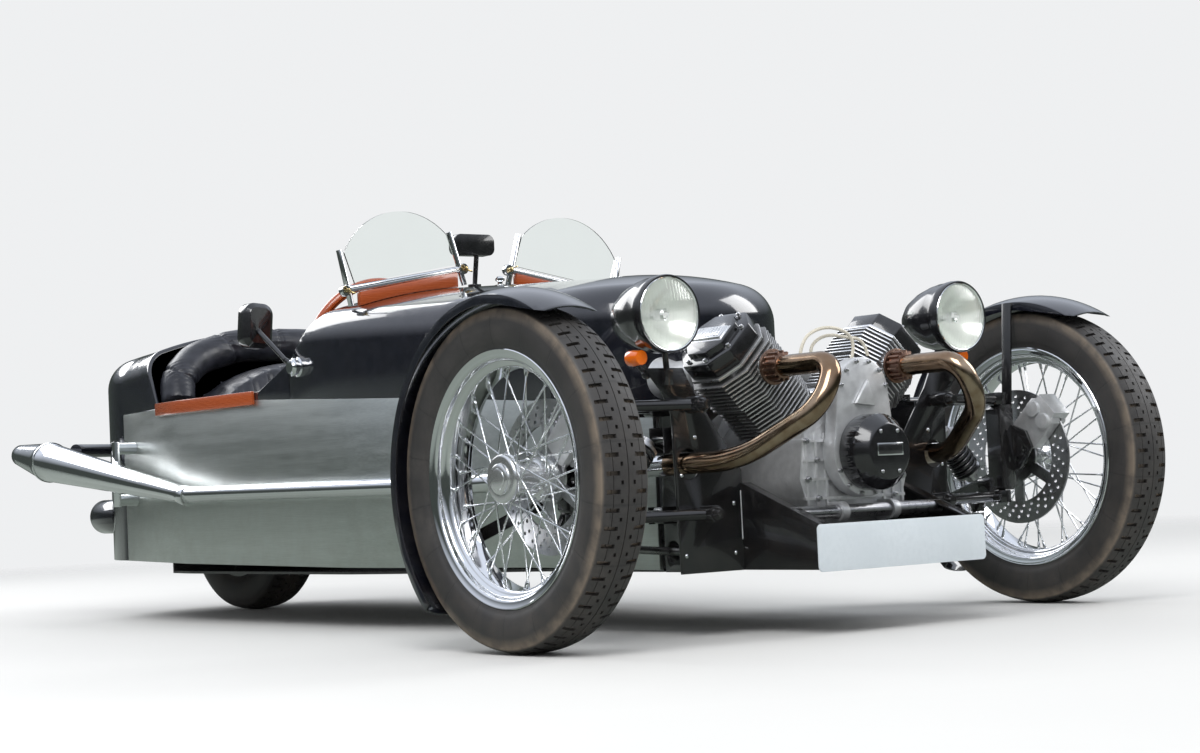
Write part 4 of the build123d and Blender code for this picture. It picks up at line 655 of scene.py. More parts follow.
def reflect(piece: Piece, name: str) -> Piece:
    """Copy of a piece for the other side of the car."""
    copy = piece.copy()
    copy.data = piece.data.copy()
    copy.name = name
    bpy.context.scene.collection.objects.link(copy)
    copy.data.transform(Matrix.Scale(-1, 4, X_AXIS))
    with editing(copy):
        bpy.ops.mesh.flip_normals()
    return copy


def clothe(piece: Piece, finish: Finish | Glass, body: str = "chassis", nodes: Sequence[str] = (),
           degrees: float = 35.0) -> Piece:
    """Finishes a new piece.

    Args:
        piece: the modelled piece, with its place in its mesh.
        finish: what it is made of.
        body: the CAD body that it rides on.
        nodes: CAD nodes that it stands for.
        degrees: the angle above which an edge stays a corner.

    Returns:
        The piece.
    """
    piece.data.materials.clear()
    piece.data.materials.append(finish.material())
    smooth(piece, degrees)
    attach(piece, body)
    if nodes:
        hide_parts(*nodes)
    LOG.info("%s: %d faces on %s", piece.name, len(piece.data.polygons), body)
    return piece


def repaint(node: str, finish: Finish, test: Callable[[Vector, Vector], bool]) -> None:
    """Gives some faces of a softened node's stand-in another finish.

    Args:
        node: the CAD node's name.
        finish: the other finish.
        test: says from a face's middle and normal whether it takes the finish.
    """
    piece = bpy.data.objects[f"{node}_finished"]
    piece.data.materials.append(finish.material())
    index = len(piece.data.materials) - 1
    for face in piece.data.polygons:
        if test(face.center, face.normal):
            face.material_index = index


def standing(place: Vector, out: Vector, turn: float = 0.0) -> Matrix:
    """Matrix that stands a fitting at a place, with its Z axis pointing out."""
    return Matrix.Translation(place) @ turn_to(out) @ Matrix.Rotation(turn, 4, "Z")


def rounded_path(corners: Sequence[Vector], radii: Sequence[float], steps: int = 14) -> list[Vector]:
    """Straight runs joined by tangent arcs, as a pipe bender makes them.

    Args:
        corners: the route's ends and corners.
        radii: the bend's radius at each corner.
        steps: points on each bend.

    Returns:
        The points of the pipe's middle line.
    """
    path = [corners[0]]
    for before, corner, after, radius in zip(corners, corners[1:], corners[2:], radii):
        back, ahead = (before - corner).normalized(), (after - corner).normalized()
        half = back.angle(ahead) / 2
        centre = corner + (back + ahead).normalized() * radius / math.sin(half)
        arm = corner + back * radius / math.tan(half) - centre
        turn = arm.rotation_difference(corner + ahead * radius / math.tan(half) - centre)
        path += [centre + Quaternion().slerp(turn, i / steps) @ arm for i in range(steps + 1)]
    return [*path, corners[-1]]


def hex_bolt(radius: float, height: float) -> Piece:
    """Hexagonal bolt head on a washer, standing on Z = 0."""
    washer = bar("washer", Z_AXIS * -0.0005, Z_AXIS * height * 0.25, radius * 1.25, sides=16)
    head = bar("head", Z_AXIS * height * 0.2, Z_AXIS * height, radius, sides=6)
    return join("bolt", [washer, head])


def dome_head(radius: float) -> Piece:
    """Domed rivet or nut, standing on Z = 0."""
    profile = [(-0.0005, 0.0), (-0.0005, radius), (radius * 0.15, radius), (radius * 0.45, radius * 0.8),
               (radius * 0.65, radius * 0.4), (radius * 0.7, 0.0)]
    return lathe("dome", profile, Vector(), Z_AXIS, 14)


def pipe(name: str, points: Sequence[Vector], radius: float, kind: str = "NURBS",
         round_steps: int = 3) -> Piece:
    """Round pipe along one smooth curve with these control points, or through them for kind POLY."""
    bpy.ops.curve.primitive_nurbs_path_add()
    piece = bpy.context.object
    piece.name = name
    piece.data.splines.clear()
    spline = piece.data.splines.new(kind)
    spline.points.add(len(points) - 1)
    for point, place in zip(spline.points, points):
        point.co = (*place, 1.0)
    if kind == "NURBS":
        spline.order_u = 3
        spline.use_endpoint_u = True
        spline.resolution_u = 8
    piece.data.bevel_depth = radius
    piece.data.bevel_resolution = round_steps
    piece.data.use_fill_caps = True
    lone(piece)
    bpy.ops.object.convert(target="MESH")
    return piece


def paint_node(node: str, finish: Finish | Glass) -> None:
    """Gives a CAD node, as it is, its finish."""
    target = FRAME["nodes"][node]
    target.data.materials.clear()
    target.data.materials.append(finish.material())


def body_of(node: str) -> str:
    """Name of the body that a CAD node rides on."""
    return FRAME["nodes"][node]["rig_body"]


def copy_node(node: str, name: str = "") -> Piece:
    """Merged copy of a CAD node's mesh, free to be worked on."""
    source = FRAME["nodes"][node]
    bpy.ops.object.select_all(action="DESELECT")
    copy = source.copy()
    copy.data = source.data.copy()
    copy.parent = None
    for key in list(copy.keys()):
        del copy[key]
    copy.name = name or f"{node}_finished"
    bpy.context.scene.collection.objects.link(copy)
    copy.hide_render = False
    copy.hide_viewport = False
    with editing(copy):
        bpy.ops.mesh.customdata_custom_splitnormals_clear()
        bpy.ops.mesh.remove_doubles(threshold=MERGE)
        bpy.ops.mesh.dissolve_limited(angle_limit=math.radians(0.2))
    return copy


def soften_node(node: str, finish: Finish | Glass, edge: float = 0.0012, degrees: float = 35.0) -> Piece:
    """Stands a copy of a CAD node with softened edges in the node's place."""
    copy = copy_node(node)
    modify(copy, "BEVEL", width=edge, segments=2, limit_method="ANGLE", angle_limit=math.radians(40))
    return clothe(copy, finish, body_of(node), [node], degrees)


def box_middle(node: str) -> Vector:
    """Middle of a CAD node's box."""
    low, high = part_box(node)
    return (low + high) / 2


AXLE = box_middle("tyre_front_left")


def at(x: float, station: float, z: float) -> Vector:
    """A place in the frame, from a station behind the front axle."""
    return Vector((x, AXLE.y + station, z))


def around(x: float, radius: float, angle: float) -> Vector:
    """A place about the X axis, with its angle measured from +Y towards +Z."""
    return Vector((x, radius * math.cos(angle), radius * math.sin(angle)))


def mean_of(places: Sequence[Vector]) -> Vector:
    """Middle of some places."""
    return sum(places, Vector()) / len(places)


# Wheels


@dataclass
class Tyre:
    """Tyre with a blocked tread, built one pitch at a time."""

    node: str
    pitches: int
    seat: float
    bead: float
    slot_depth: float = 0.008
    slot_columns: Point = (4.0, 6.0)
    slot_reach: float = 0.1
    dot_column: float = 2.0
    groove_depth: float = 0.004
    groove_columns: Point = (0.0, 5.0)
    rows: tuple[float, ...] = (0.0, 0.11, 0.38, 0.62, 0.89, 1.0)
    tread: tuple[Point, ...] = ((0.016, 0.0), (0.19, 0.004), (0.29, 0.008), (0.32, 0.010), (0.55, 0.028),
                                (0.575, 0.031), (0.79, 0.066), (0.86, 0.085))
    wall: tuple[Point, ...] = ((0.90, 0.105), (0.925, 0.15), (0.965, 0.21), (0.975, 0.225), (0.996, 0.33),
                               (1.0, 0.42), (0.985, 0.54), (0.94, 0.66), (0.885, 0.75), (0.87, 0.758),
                               (0.84, 0.81), (0.79, 0.87))

    def section(self) -> list[Point]:
        """Half section from the tread's middle to the bead, as (axial, radius)."""
        low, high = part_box(self.node)
        half, radius = (high.x - low.x) / 2, (high.z - low.z) / 2
        depth = radius - self.seat
        points = [(half * a, radius - depth * drop) for a, drop in (*self.tread, *self.wall)]
        return [*points, (self.bead, self.seat + 0.010), (self.bead, self.seat + 0.0005)]

    def pitch(self, columns: Sequence[Point]) -> Piece:
        """One pitch of the tyre in flat form: X is the column, Y the share of the pitch, Z the depth."""
        count = len(columns) - 1
        bpy.ops.mesh.primitive_grid_add(x_subdivisions=count, y_subdivisions=len(self.rows) - 1, size=1)
        piece = bpy.context.object
        for vertex in piece.data.vertices:
            row = round((vertex.co.y + 0.5) * (len(self.rows) - 1))
            vertex.co = (round((vertex.co.x + 0.5) * count), self.rows[row], 0)
        middle = count / 2

        def column(face: Face) -> float:
            """The face's column, counted from the tread's middle."""
            return abs(face.center.x - middle)

        def in_slot(face: Face) -> bool:
            """Whether the face lies in a long slot or a dot of the tread."""
            share, reach = face.center.y, self.slot_reach
            if column(face) == self.dot_column:
                return share < reach or share > 1 - reach
            return column(face) in self.slot_columns and abs(share - 0.5) < reach

        def in_groove(face: Face) -> bool:
            """Whether the face lies in a groove around the tyre."""
            return column(face) in self.groove_columns

        def on_joint(face: Face) -> bool:
            """Whether the face closes the pitch's end, against the next pitch."""
            return {round(piece.data.vertices[i].co.y, 5) for i in face.vertices} in ({0.0}, {1.0})

        for test, depth in ((in_slot, self.slot_depth), (in_groove, self.groove_depth)):
            if pick_faces(piece, test):
                with editing(piece, picked=True):
                    bpy.ops.mesh.extrude_region_move(TRANSFORM_OT_translate={"value": (0, 0, -depth)})
        if pick_faces(piece, on_joint):
            with editing(piece, picked=True):
                bpy.ops.mesh.delete(type="FACE")
        return piece

    def build(self) -> Piece:
        """Builds the tyre around the wheel's axis."""
        half = self.section()
        columns = [(-a, r) for a, r in reversed(half)] + half
        flat = self.pitch(columns)
        step = 2 * math.pi / self.pitches
        for vertex in flat.data.vertices:
            axial, radius = columns[round(vertex.co.x)]
            radius += vertex.co.z
            angle = vertex.co.y * step
            vertex.co = (axial, radius * math.sin(angle), radius * math.cos(angle))
        turns = (Matrix.Rotation(-step * index, 4, "X") for index in range(self.pitches))
        piece = scatter(f"{self.node}_tread", flat, turns)
        seal(piece)
        centre = box_middle(self.node)
        piece.data.transform(Matrix.Translation(centre))
        finish = RUBBER.about(f"rubber of {self.node}", centre)
        return clothe(piece, finish, body_of(self.node), [self.node], 38.0)


@dataclass
class WireWheel:
    """Front wheel: rolled chrome rim, turned hub and crossed spokes with nipples."""

    side: str
    spokes_a_side: int = 20
    spoke_radius: float = 0.0019
    lean: float = 54.0
    hub_hole_radius: float = 0.0405
    flange_half: float = 0.034
    spread: float = 0.003
    nipple_half: float = 0.0075
    nipple_spread: float = 0.002
    nipple_rise: float = 0.0015
    drill_rings: tuple[float, ...] = (0.110, 0.122, 0.134)
    drills_a_ring: int = 30
    drill_step: float = 4.0
    drill_radius: float = 0.0038
    rim_half: tuple[Point, ...] = ((0.0200, 0.2086), (0.0235, 0.2097), (0.0262, 0.2160), (0.0285, 0.2222),
                                   (0.0330, 0.2242), (0.0392, 0.2245), (0.0424, 0.2262), (0.0438, 0.2310),
                                   (0.0449, 0.2372), (0.0468, 0.2400), (0.0474, 0.2420), (0.0462, 0.2436),
                                   (0.0440, 0.2432), (0.0424, 0.2410), (0.0414, 0.2370), (0.0409, 0.2292),
                                   (0.0400, 0.2284), (0.0300, 0.2276), (0.0272, 0.2210), (0.0242, 0.2130),
                                   (0.0205, 0.2122))
    hub: tuple[Point, ...] = ((0.0560, 0.0), (0.0560, 0.0165), (0.0550, 0.0200), (0.0540, 0.0205),
                              (0.0536, 0.0260), (0.0520, 0.0285), (0.0490, 0.0292), (0.0478, 0.0300),
                              (0.0476, 0.0410), (0.0470, 0.0436), (0.0455, 0.0460), (0.0430, 0.0474),
                              (0.0370, 0.0478), (0.0325, 0.0478), (0.0312, 0.0466), (0.0310, 0.0345),
                              (0.0280, 0.0300), (0.0180, 0.0278), (-0.0180, 0.0278), (-0.0280, 0.0300),
                              (-0.0310, 0.0345), (-0.0312, 0.0466), (-0.0325, 0.0478), (-0.0365, 0.0478),
                              (-0.0378, 0.0466), (-0.0380, 0.0360), (-0.0550, 0.0360), (-0.0560, 0.0455),
                              (-0.0610, 0.0455), (-0.0618, 0.0312), (-0.0665, 0.0310), (-0.0668, 0.0150),
                              (0.0300, 0.0145), (0.0300, 0.0))

    def spoke_ends(self) -> Iterator[tuple[Vector, Vector]]:
        """Hub end and rim end of every spoke, about the wheel's centre, with +X outboard."""
        pitch = 360 / self.spokes_a_side
        rim_radius = self.rim_half[0][1] + self.nipple_rise
        for side in (-1, 1):
            for index in range(self.spokes_a_side):
                lean = 1 if index % 2 else -1
                start = math.radians(index * pitch + side * pitch / 4)
                end = start + math.radians(lean * self.lean)
                yield (around(side * self.flange_half + lean * self.spread, self.hub_hole_radius, start),
                       around(side * self.nipple_half + lean * self.nipple_spread, rim_radius, end))

    def spoke(self, length: float) -> Piece:
        """One spoke along +Z from its head at the hub to its nipple at the rim."""
        head = bar("head", Z_AXIS * -0.002, Z_AXIS * 0.003, 0.0034, sides=10)
        wire = bar("wire", Vector(), Z_AXIS * length, self.spoke_radius, sides=10)
        nipple = bar("nipple", Z_AXIS * (length - 0.016), Z_AXIS * (length - 0.002), 0.0029, sides=8,
                     end_radius=0.0036)
        seat = bar("seat", Z_AXIS * (length - 0.003), Z_AXIS * length, 0.0050, sides=10)
        return join("spoke", [head, wire, nipple, seat])

    def build(self) -> None:
        """Builds the rim, hub and spokes of this side's wheel."""
        centre = box_middle(f"tyre_front_{self.side}")
        outboard = X_AXIS if self.side == "left" else -X_AXIS
        body = f"front_wheel_{self.side}"
        section = loop([*[(-a, r) for a, r in self.rim_half[::-1]], *self.rim_half])
        rim = lathe(f"rim_{self.side}", section, centre, X_AXIS, 144)
        clothe(rim, CHROME, body, [f"wheel_front_{self.side}"], 50.0)
        hub = lathe(f"hub_{self.side}", self.hub, centre, outboard, 64)
        clothe(hub, TURNED_ALUMINIUM, body, degrees=40.0)
        ends = list(self.spoke_ends())
        length = (ends[0][1] - ends[0][0]).length
        half_turn = 0.0 if self.side == "left" else math.pi
        place = Matrix.Translation(centre) @ Matrix.Rotation(half_turn, 4, "Z")
        places = [place @ standing(start, (end - start).normalized()) for start, end in ends]
        spokes = scatter(f"spokes_{self.side}", self.spoke(length), places)
        clothe(spokes, CHROME, body)
        self.disc(centre, body)

    def disc(self, centre: Vector, body: str) -> None:
        """Drills the brake disc's band."""
        node = f"brake_disc_{self.side}"
        disc = copy_node(node)
        drills = []
        for ring, radius in enumerate(self.drill_rings):
            for index in range(self.drills_a_ring):
                angle = math.radians(360 / self.drills_a_ring * index + self.drill_step * ring)
                place = centre + around(0, radius, angle)
                drills.append(Matrix.Translation((box_middle(node).x, place.y, place.z)))
        bpy.ops.mesh.primitive_cylinder_add(vertices=10, radius=self.drill_radius, depth=0.02,
                                            rotation=(0, math.pi / 2, 0))
        drill = bpy.context.object
        bpy.ops.object.transform_apply(location=False, rotation=True, scale=False)
        cutter = scatter("drills", drill, drills)
        modify(disc, "BOOLEAN", object=cutter, operation="DIFFERENCE", solver="EXACT")
        bpy.data.objects.remove(cutter)
        clothe(disc, STEEL, body, [node], 30.0)


# Lamps


@dataclass
class Headlamps:
    """Bullet headlamps: shell, rim, reflector, bulb and fluted glass."""

    shell: tuple[Point, ...] = ((0.004, 0.0712), (0.000, 0.0722), (-0.0035, 0.0740), (-0.0040, 0.0756),
                                (-0.001, 0.0770), (0.012, 0.0772), (0.020, 0.0762), (0.024, 0.0750),
                                (0.040, 0.0745), (0.060, 0.0712), (0.090, 0.0628), (0.115, 0.0512),
                                (0.137, 0.0362), (0.150, 0.0235), (0.158, 0.0120), (0.161, 0.0))
    rim: tuple[Point, ...] = ((-0.001, 0.0700), (-0.0035, 0.0706), (-0.0042, 0.0718), (-0.0028, 0.0730),
                              (0.002, 0.0726), (0.002, 0.0702))
    bulb: tuple[Point, ...] = ((0.012, 0.0), (0.010, 0.007), (0.014, 0.012), (0.034, 0.012), (0.040, 0.006),
                               (0.052, 0.006))
    glass_rise: float = 0.012
    glass_thickness: float = 0.003
    bowl_depth: float = 0.052

    def build(self) -> None:
        """Builds both lamps from the lens node's box; the CAD shells' brackets show behind them."""
        low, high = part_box("headlamp_lenses")
        radius = (high.z - low.z) / 2
        front = low.y + self.glass_rise
        centre = Vector((high.x - radius, front, (low.z + high.z) / 2))
        parts = (("shell", self.shell, ENGINE_BLACK, 80), ("rim", loop(self.rim), CHROME, 80),
                 ("reflector", self.bowl(radius), REFLECTOR, 64), ("bulb", self.bulb, CHROME, 24),
                 ("glass", self.dome(radius), LAMP_GLASS, 80))
        turned = [(part, lathe(f"headlamp_{part}_left", profile, centre, Y_AXIS, steps), finish)
                  for part, profile, finish, steps in parts]
        for part, piece, finish in turned:
            other = reflect(piece, f"headlamp_{part}_right")
            clothe(piece, finish, nodes=["headlamp_lenses"] if part == "glass" else [])
            clothe(other, finish)
        soften_node("headlamp_shells", FRAME_BLACK)

    def bowl(self, radius: float) -> list[Point]:
        """Parabolic reflector behind the glass."""
        return [(0.001 + self.bowl_depth * (1 - (i / 8) ** 2), radius * 0.99 * i / 8) for i in range(9)]

    def dome(self, radius: float) -> list[Point]:
        """Domed glass, as thick as the given thickness."""
        outside = [(-self.glass_rise * (1 - (i / 10) ** 2), radius * i / 10) for i in range(11)]
        return [*outside, *[(a + self.glass_thickness, r * 0.985) for a, r in reversed(outside)]]


@dataclass
class CoilSprings:
    """Coil springs and dampers between the wishbones and the nose; the rod is in shares of the length."""

    turns: float = 7.5
    wire: float = 0.0050
    coil_radius: float = 0.0265
    low_share: float = 0.20
    high_share: float = 0.86
    end_reach: float = 0.02
    cup: tuple[Point, ...] = ((0.0, 0.0), (0.0, 0.013), (0.018, 0.013), (0.020, 0.030), (0.026, 0.031),
                              (0.028, 0.020))
    rod: tuple[Point, ...] = ((0.55, 0.019), (0.56, 0.009), (0.84, 0.009), (0.85, 0.031), (0.90, 0.031),
                              (0.91, 0.018), (1.0, 0.018), (1.0, 0.0))

    def build(self) -> None:
        """Builds both units along the axis of the CAD node's left solid."""
        low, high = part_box("coil_overs")
        left = [v.co for v in FRAME["nodes"]["coil_overs"].data.vertices if v.co.x > 0]
        bottom = mean_of([place for place in left if place.z < low.z + self.end_reach])
        top = mean_of([place for place in left if place.z > high.z - self.end_reach])
        axis = top - bottom
        length = axis.length
        bpy.ops.mesh.primitive_circle_add(vertices=12, radius=self.wire, rotation=(math.pi / 2, 0, 0),
                                          location=(self.coil_radius, 0, 0))
        bpy.ops.object.transform_apply()
        spring = bpy.context.object
        spring.name = "coil_spring_left"
        rise = length * (self.high_share - self.low_share) / self.turns
        modify(spring, "SCREW", axis="Z", angle=2 * math.pi, screw_offset=rise, iterations=int(self.turns),
               steps=32, render_steps=32, use_merge_vertices=True)
        spring.data.transform(Matrix.Translation((0, 0, self.low_share * length)))
        profile = [*self.cup, *[(length * share, radius) for share, radius in self.rod]]
        body = lathe("damper_left", profile, Vector(), Z_AXIS, 40)
        place = Matrix.Translation(bottom) @ turn_to(axis.normalized())
        for piece, finish, nodes in ((spring, ENGINE_BLACK, ["coil_overs"]), (body, STEEL, [])):
            piece.data.transform(place)
            if piece is spring:
                with editing(piece):
                    bpy.ops.mesh.normals_make_consistent(inside=False)
            other = reflect(piece, piece.name.replace("_left", "_right"))
            clothe(piece, finish, nodes=nodes)
            clothe(other, finish)


# Engine and exhaust


@dataclass(frozen=True)
class EngineTrim:
    """Second finishes, painted shade and highlights on the fins, bolts, nuts, bridge ribs, badge place and
    plug leads of the V-twin.
    """

    crank_z: float = 0.349
    cylinder_y: float = -0.020
    lean: float = math.radians(45)
    deck: float = 0.118
    foot_nut: float = 0.060
    cover_bolt: Point = (0.065, 0.026)
    case_bolts: tuple[Point, ...] = ((0.104, 0.262), (0.130, 0.300), (0.130, 0.376), (0.104, 0.338))
    boss: tuple[Point, ...] = ((-0.030, 0.098), (0.024, 0.092), (0.006, 0.146))
    cover_screw_radius: float = 0.046
    lead_stations: Point = (-0.118, -0.104)
    near_lead: tuple[Point, ...] = ((-0.100, 0.548), (-0.092, 0.580), (-0.052, 0.602), (-0.005, 0.606),
                                    (0.040, 0.592), (0.050, 0.562), (0.040, 0.540))
    far_lead: tuple[Point, ...] = ((-0.054, 0.530), (-0.062, 0.560), (-0.040, 0.582), (-0.004, 0.592),
                                   (0.040, 0.586), (0.092, 0.582), (0.100, 0.548))
    base_top: float = 0.338
    bar_top: float = 0.358
    timing_front: float = -0.190
    timing_radius: float = 0.0825
    timing_top_radius: float = 0.063
    timing_rise: float = 0.121
    cover_front: float = -0.257
    case_front: float = -0.155
    corner_share: float = 0.66
    fin_core: float = 0.0785
    fin_foot: float = 0.128
    bar_depth: float = 0.0058
    rib_pitch: float = 0.009
    port: Place = (0.170, -0.112, 0.526)
    nut_length: float = 0.035
    nut_reach: float = 0.040
    header_radius: float = 0.0212
    header: tuple[Place, ...] = ((0.170, -0.142, 0.526), (0.170, -0.292, 0.526), (0.216, -0.300, 0.438),
                                 (0.292, -0.140, 0.344), (0.344, -0.030, 0.342), (0.478, 0.490, 0.322),
                                 (0.500, 1.781, 0.331))
    header_bends: tuple[float, ...] = (0.044, 0.090, 0.260, 0.380, 0.600)
    header_join: float = 0.56
    bronze_end: float = 0.20

    def cylinder_frame(self, side: int) -> Matrix:
        """Frame of one cylinder, with Z along it from the crank."""
        crank = Matrix.Translation(at(0, self.cylinder_y, self.crank_z))
        return crank @ Matrix.Rotation(side * self.lean, 4, "Y")

    def build(self) -> None:
        """Dresses both cylinders, the covers and the exhausts."""
        for side, name in SIDES:
            self.dress_cylinder(side, name)
            self.dress_exhaust(name)
        self.headers()
        self.bolts()
        self.cover()
        self.leads()

    def dress_cylinder(self, side: int, name: str) -> None:
        """Paints shade into the gaps between the fins, and highlights on their edges and on the cover's
        bridge.
        """
        frame = self.cylinder_frame(side)
        back = frame.inverted()

        def across(middle: Vector) -> float:
            """How far a place lies from the cylinder's axis, measured to the fins' cut corners."""
            place = back @ middle
            return max(abs(place.x), abs(place.y), (abs(place.x) + abs(place.y)) * self.corner_share)

        def on_bar(middle: Vector, normal: Vector) -> bool:
            """Whether a place lies on this side's bridge bar."""
            return (back @ middle).z > self.bar_top - self.bar_depth and middle.x * side > 0

        node = f"cylinder_{name}"
        # Painted shade in the gaps between the fins, and painted highlight on the fin edges and on the
        # cover's bridge bar.
        repaint(node, FIN_GAP_SHADE, lambda middle, normal: across(middle) < self.fin_core and
                (back @ middle).z > self.fin_foot)
        repaint(node, FIN_EDGE_HIGHLIGHT, lambda middle, normal: across(middle) >= self.fin_core)
        repaint("rocker_covers", FIN_EDGE_HIGHLIGHT, on_bar)
        # The ribs are real shape; their bright finish is a painted highlight.
        rib = bar("rib", X_AXIS * -0.013, X_AXIS * 0.013, 0.0022, sides=8)
        places = [frame @ Matrix.Translation((0, self.rib_pitch * i, self.bar_top)) for i in range(-4, 5)]
        clothe(scatter(f"cover_bridge_ribs_{name}", rib, places), FIN_EDGE_HIGHLIGHT)

    def at_nut(self, middle: Vector, normal: Vector = Z_AXIS) -> bool:
        """Whether a place lies on the nut at either exhaust port."""
        port = at(*self.port)
        near = abs(abs(middle.x) - port.x) < self.nut_reach and abs(middle.z - port.z) < self.nut_reach
        return near and middle.y > port.y - self.nut_length

    def in_heat(self, middle: Vector, normal: Vector = Z_AXIS) -> bool:
        """Whether a place lies on the part of the exhaust that its heat has tinted."""
        return middle.y < at(0, self.bronze_end, 0).y

    def dress_exhaust(self, name: str) -> None:
        """Opens the exhaust where the new header runs, and tints it, with a copper nut at the port."""
        node = f"exhaust_{name}"
        bent = bpy.data.objects[f"{node}_finished"]
        end = at(0, self.header_join, 0).y
        pick_faces(bent, lambda face: face.center.y < end and not self.at_nut(face.center))
        with editing(bent, picked=True):
            bpy.ops.mesh.delete(type="FACE")
        with editing(bent):
            bpy.ops.mesh.fill_holes(sides=0)
        repaint(node, HEAT_TINT, self.in_heat)
        repaint(node, COPPER, self.at_nut)

    def headers(self) -> None:
        """Bends the header and side pipe of each side, heat-tinted at the front."""
        route = rounded_path([at(*corner) for corner in self.header], self.header_bends)
        left = pipe("header_left", route, self.header_radius, "POLY", 8)
        for piece in (left, reflect(left, "header_right")):
            clothe(piece, CHROME)
            piece.data.materials.append(HEAT_TINT.material())
            for face in piece.data.polygons:
                face.material_index = int(self.in_heat(face.center))

    def bolts(self) -> None:
        """Adds the bolts of the covers and the crankcase and the nuts at the cylinders' feet."""
        ring = [(self.timing_radius, 0.0, 205 + 26 * i) for i in range(6)]
        ring += [(self.timing_top_radius, self.timing_rise, 12 + 31 * i) for i in range(6)]
        edge = []
        for radius, rise, angle in ring:
            turn = math.radians(angle)
            height = self.crank_z + rise + radius * math.sin(turn)
            edge.append(standing(at(radius * math.cos(turn), self.timing_front, height), -Y_AXIS, angle))
        clothe(scatter("timing_cover_bolts", hex_bolt(0.0040, 0.006), edge), STEEL)
        case = [standing(at(side * x, self.case_front, z), -Y_AXIS, x + z)
                for side in (-1, 1) for x, z in self.case_bolts]
        clothe(scatter("crankcase_bolts", hex_bolt(0.0055, 0.008), case), STEEL)
        covers, feet = [], []
        for side in (1, -1):
            frame = self.cylinder_frame(side)
            covers += [frame @ Matrix.Translation((sx * x, sy * y, self.base_top))
                       for x, y in (self.cover_bolt, self.cover_bolt[::-1]) for sx, sy in CORNERS]
            feet += [frame @ Matrix.Translation((sx * self.foot_nut, sy * self.foot_nut, self.deck))
                     for sx, sy in CORNERS]
        clothe(scatter("rocker_cover_bolts", hex_bolt(0.0042, 0.007), covers), STEEL)
        clothe(scatter("cylinder_foot_nuts", dome_head(0.009), feet), CHROME)

    def cover(self) -> None:
        """Adds the blank badge place, the cover's screws and the boss on the timing cover."""
        y = self.cover_front
        for name, half_x, half_z, depth, finish in (("badge_frame", 0.035, 0.0125, 0.0018, CHROME),
                                                    ("badge_field", 0.0325, 0.0100, 0.0024, ENGINE_BLACK)):
            outline = [at(x * half_x, y, self.crank_z + 0.004 + z * half_z)
                       for x, z in ((-1, -1), (1, -1), (1, 1), (-1, 1))]
            clothe(plate(name, outline, -Y_AXIS * depth), finish)
        ring = self.cover_screw_radius
        screws = [standing(at(ring * math.cos(a), y, self.crank_z + ring * math.sin(a)), -Y_AXIS)
                  for a in (math.radians(t) for t in (60, 120, 240, 300))]
        clothe(scatter("alternator_cover_screws", dome_head(0.0045), screws), STEEL)
        boss = [at(x, self.timing_front, self.crank_z + z) for x, z in self.boss]
        clothe(plate("timing_cover_boss", boss, -Y_AXIS * 0.010, 0.003), CAST_ALUMINIUM)

    def leads(self) -> None:
        """Loops the two plug leads over the timing cover, from head to head."""
        for name, run, y in zip(("near", "far"), (self.near_lead, self.far_lead), self.lead_stations):
            clothe(pipe(f"plug_lead_{name}", [at(x, y, z) for x, z in run], 0.0035), CREAM_LEAD)


# Frame and body fittings


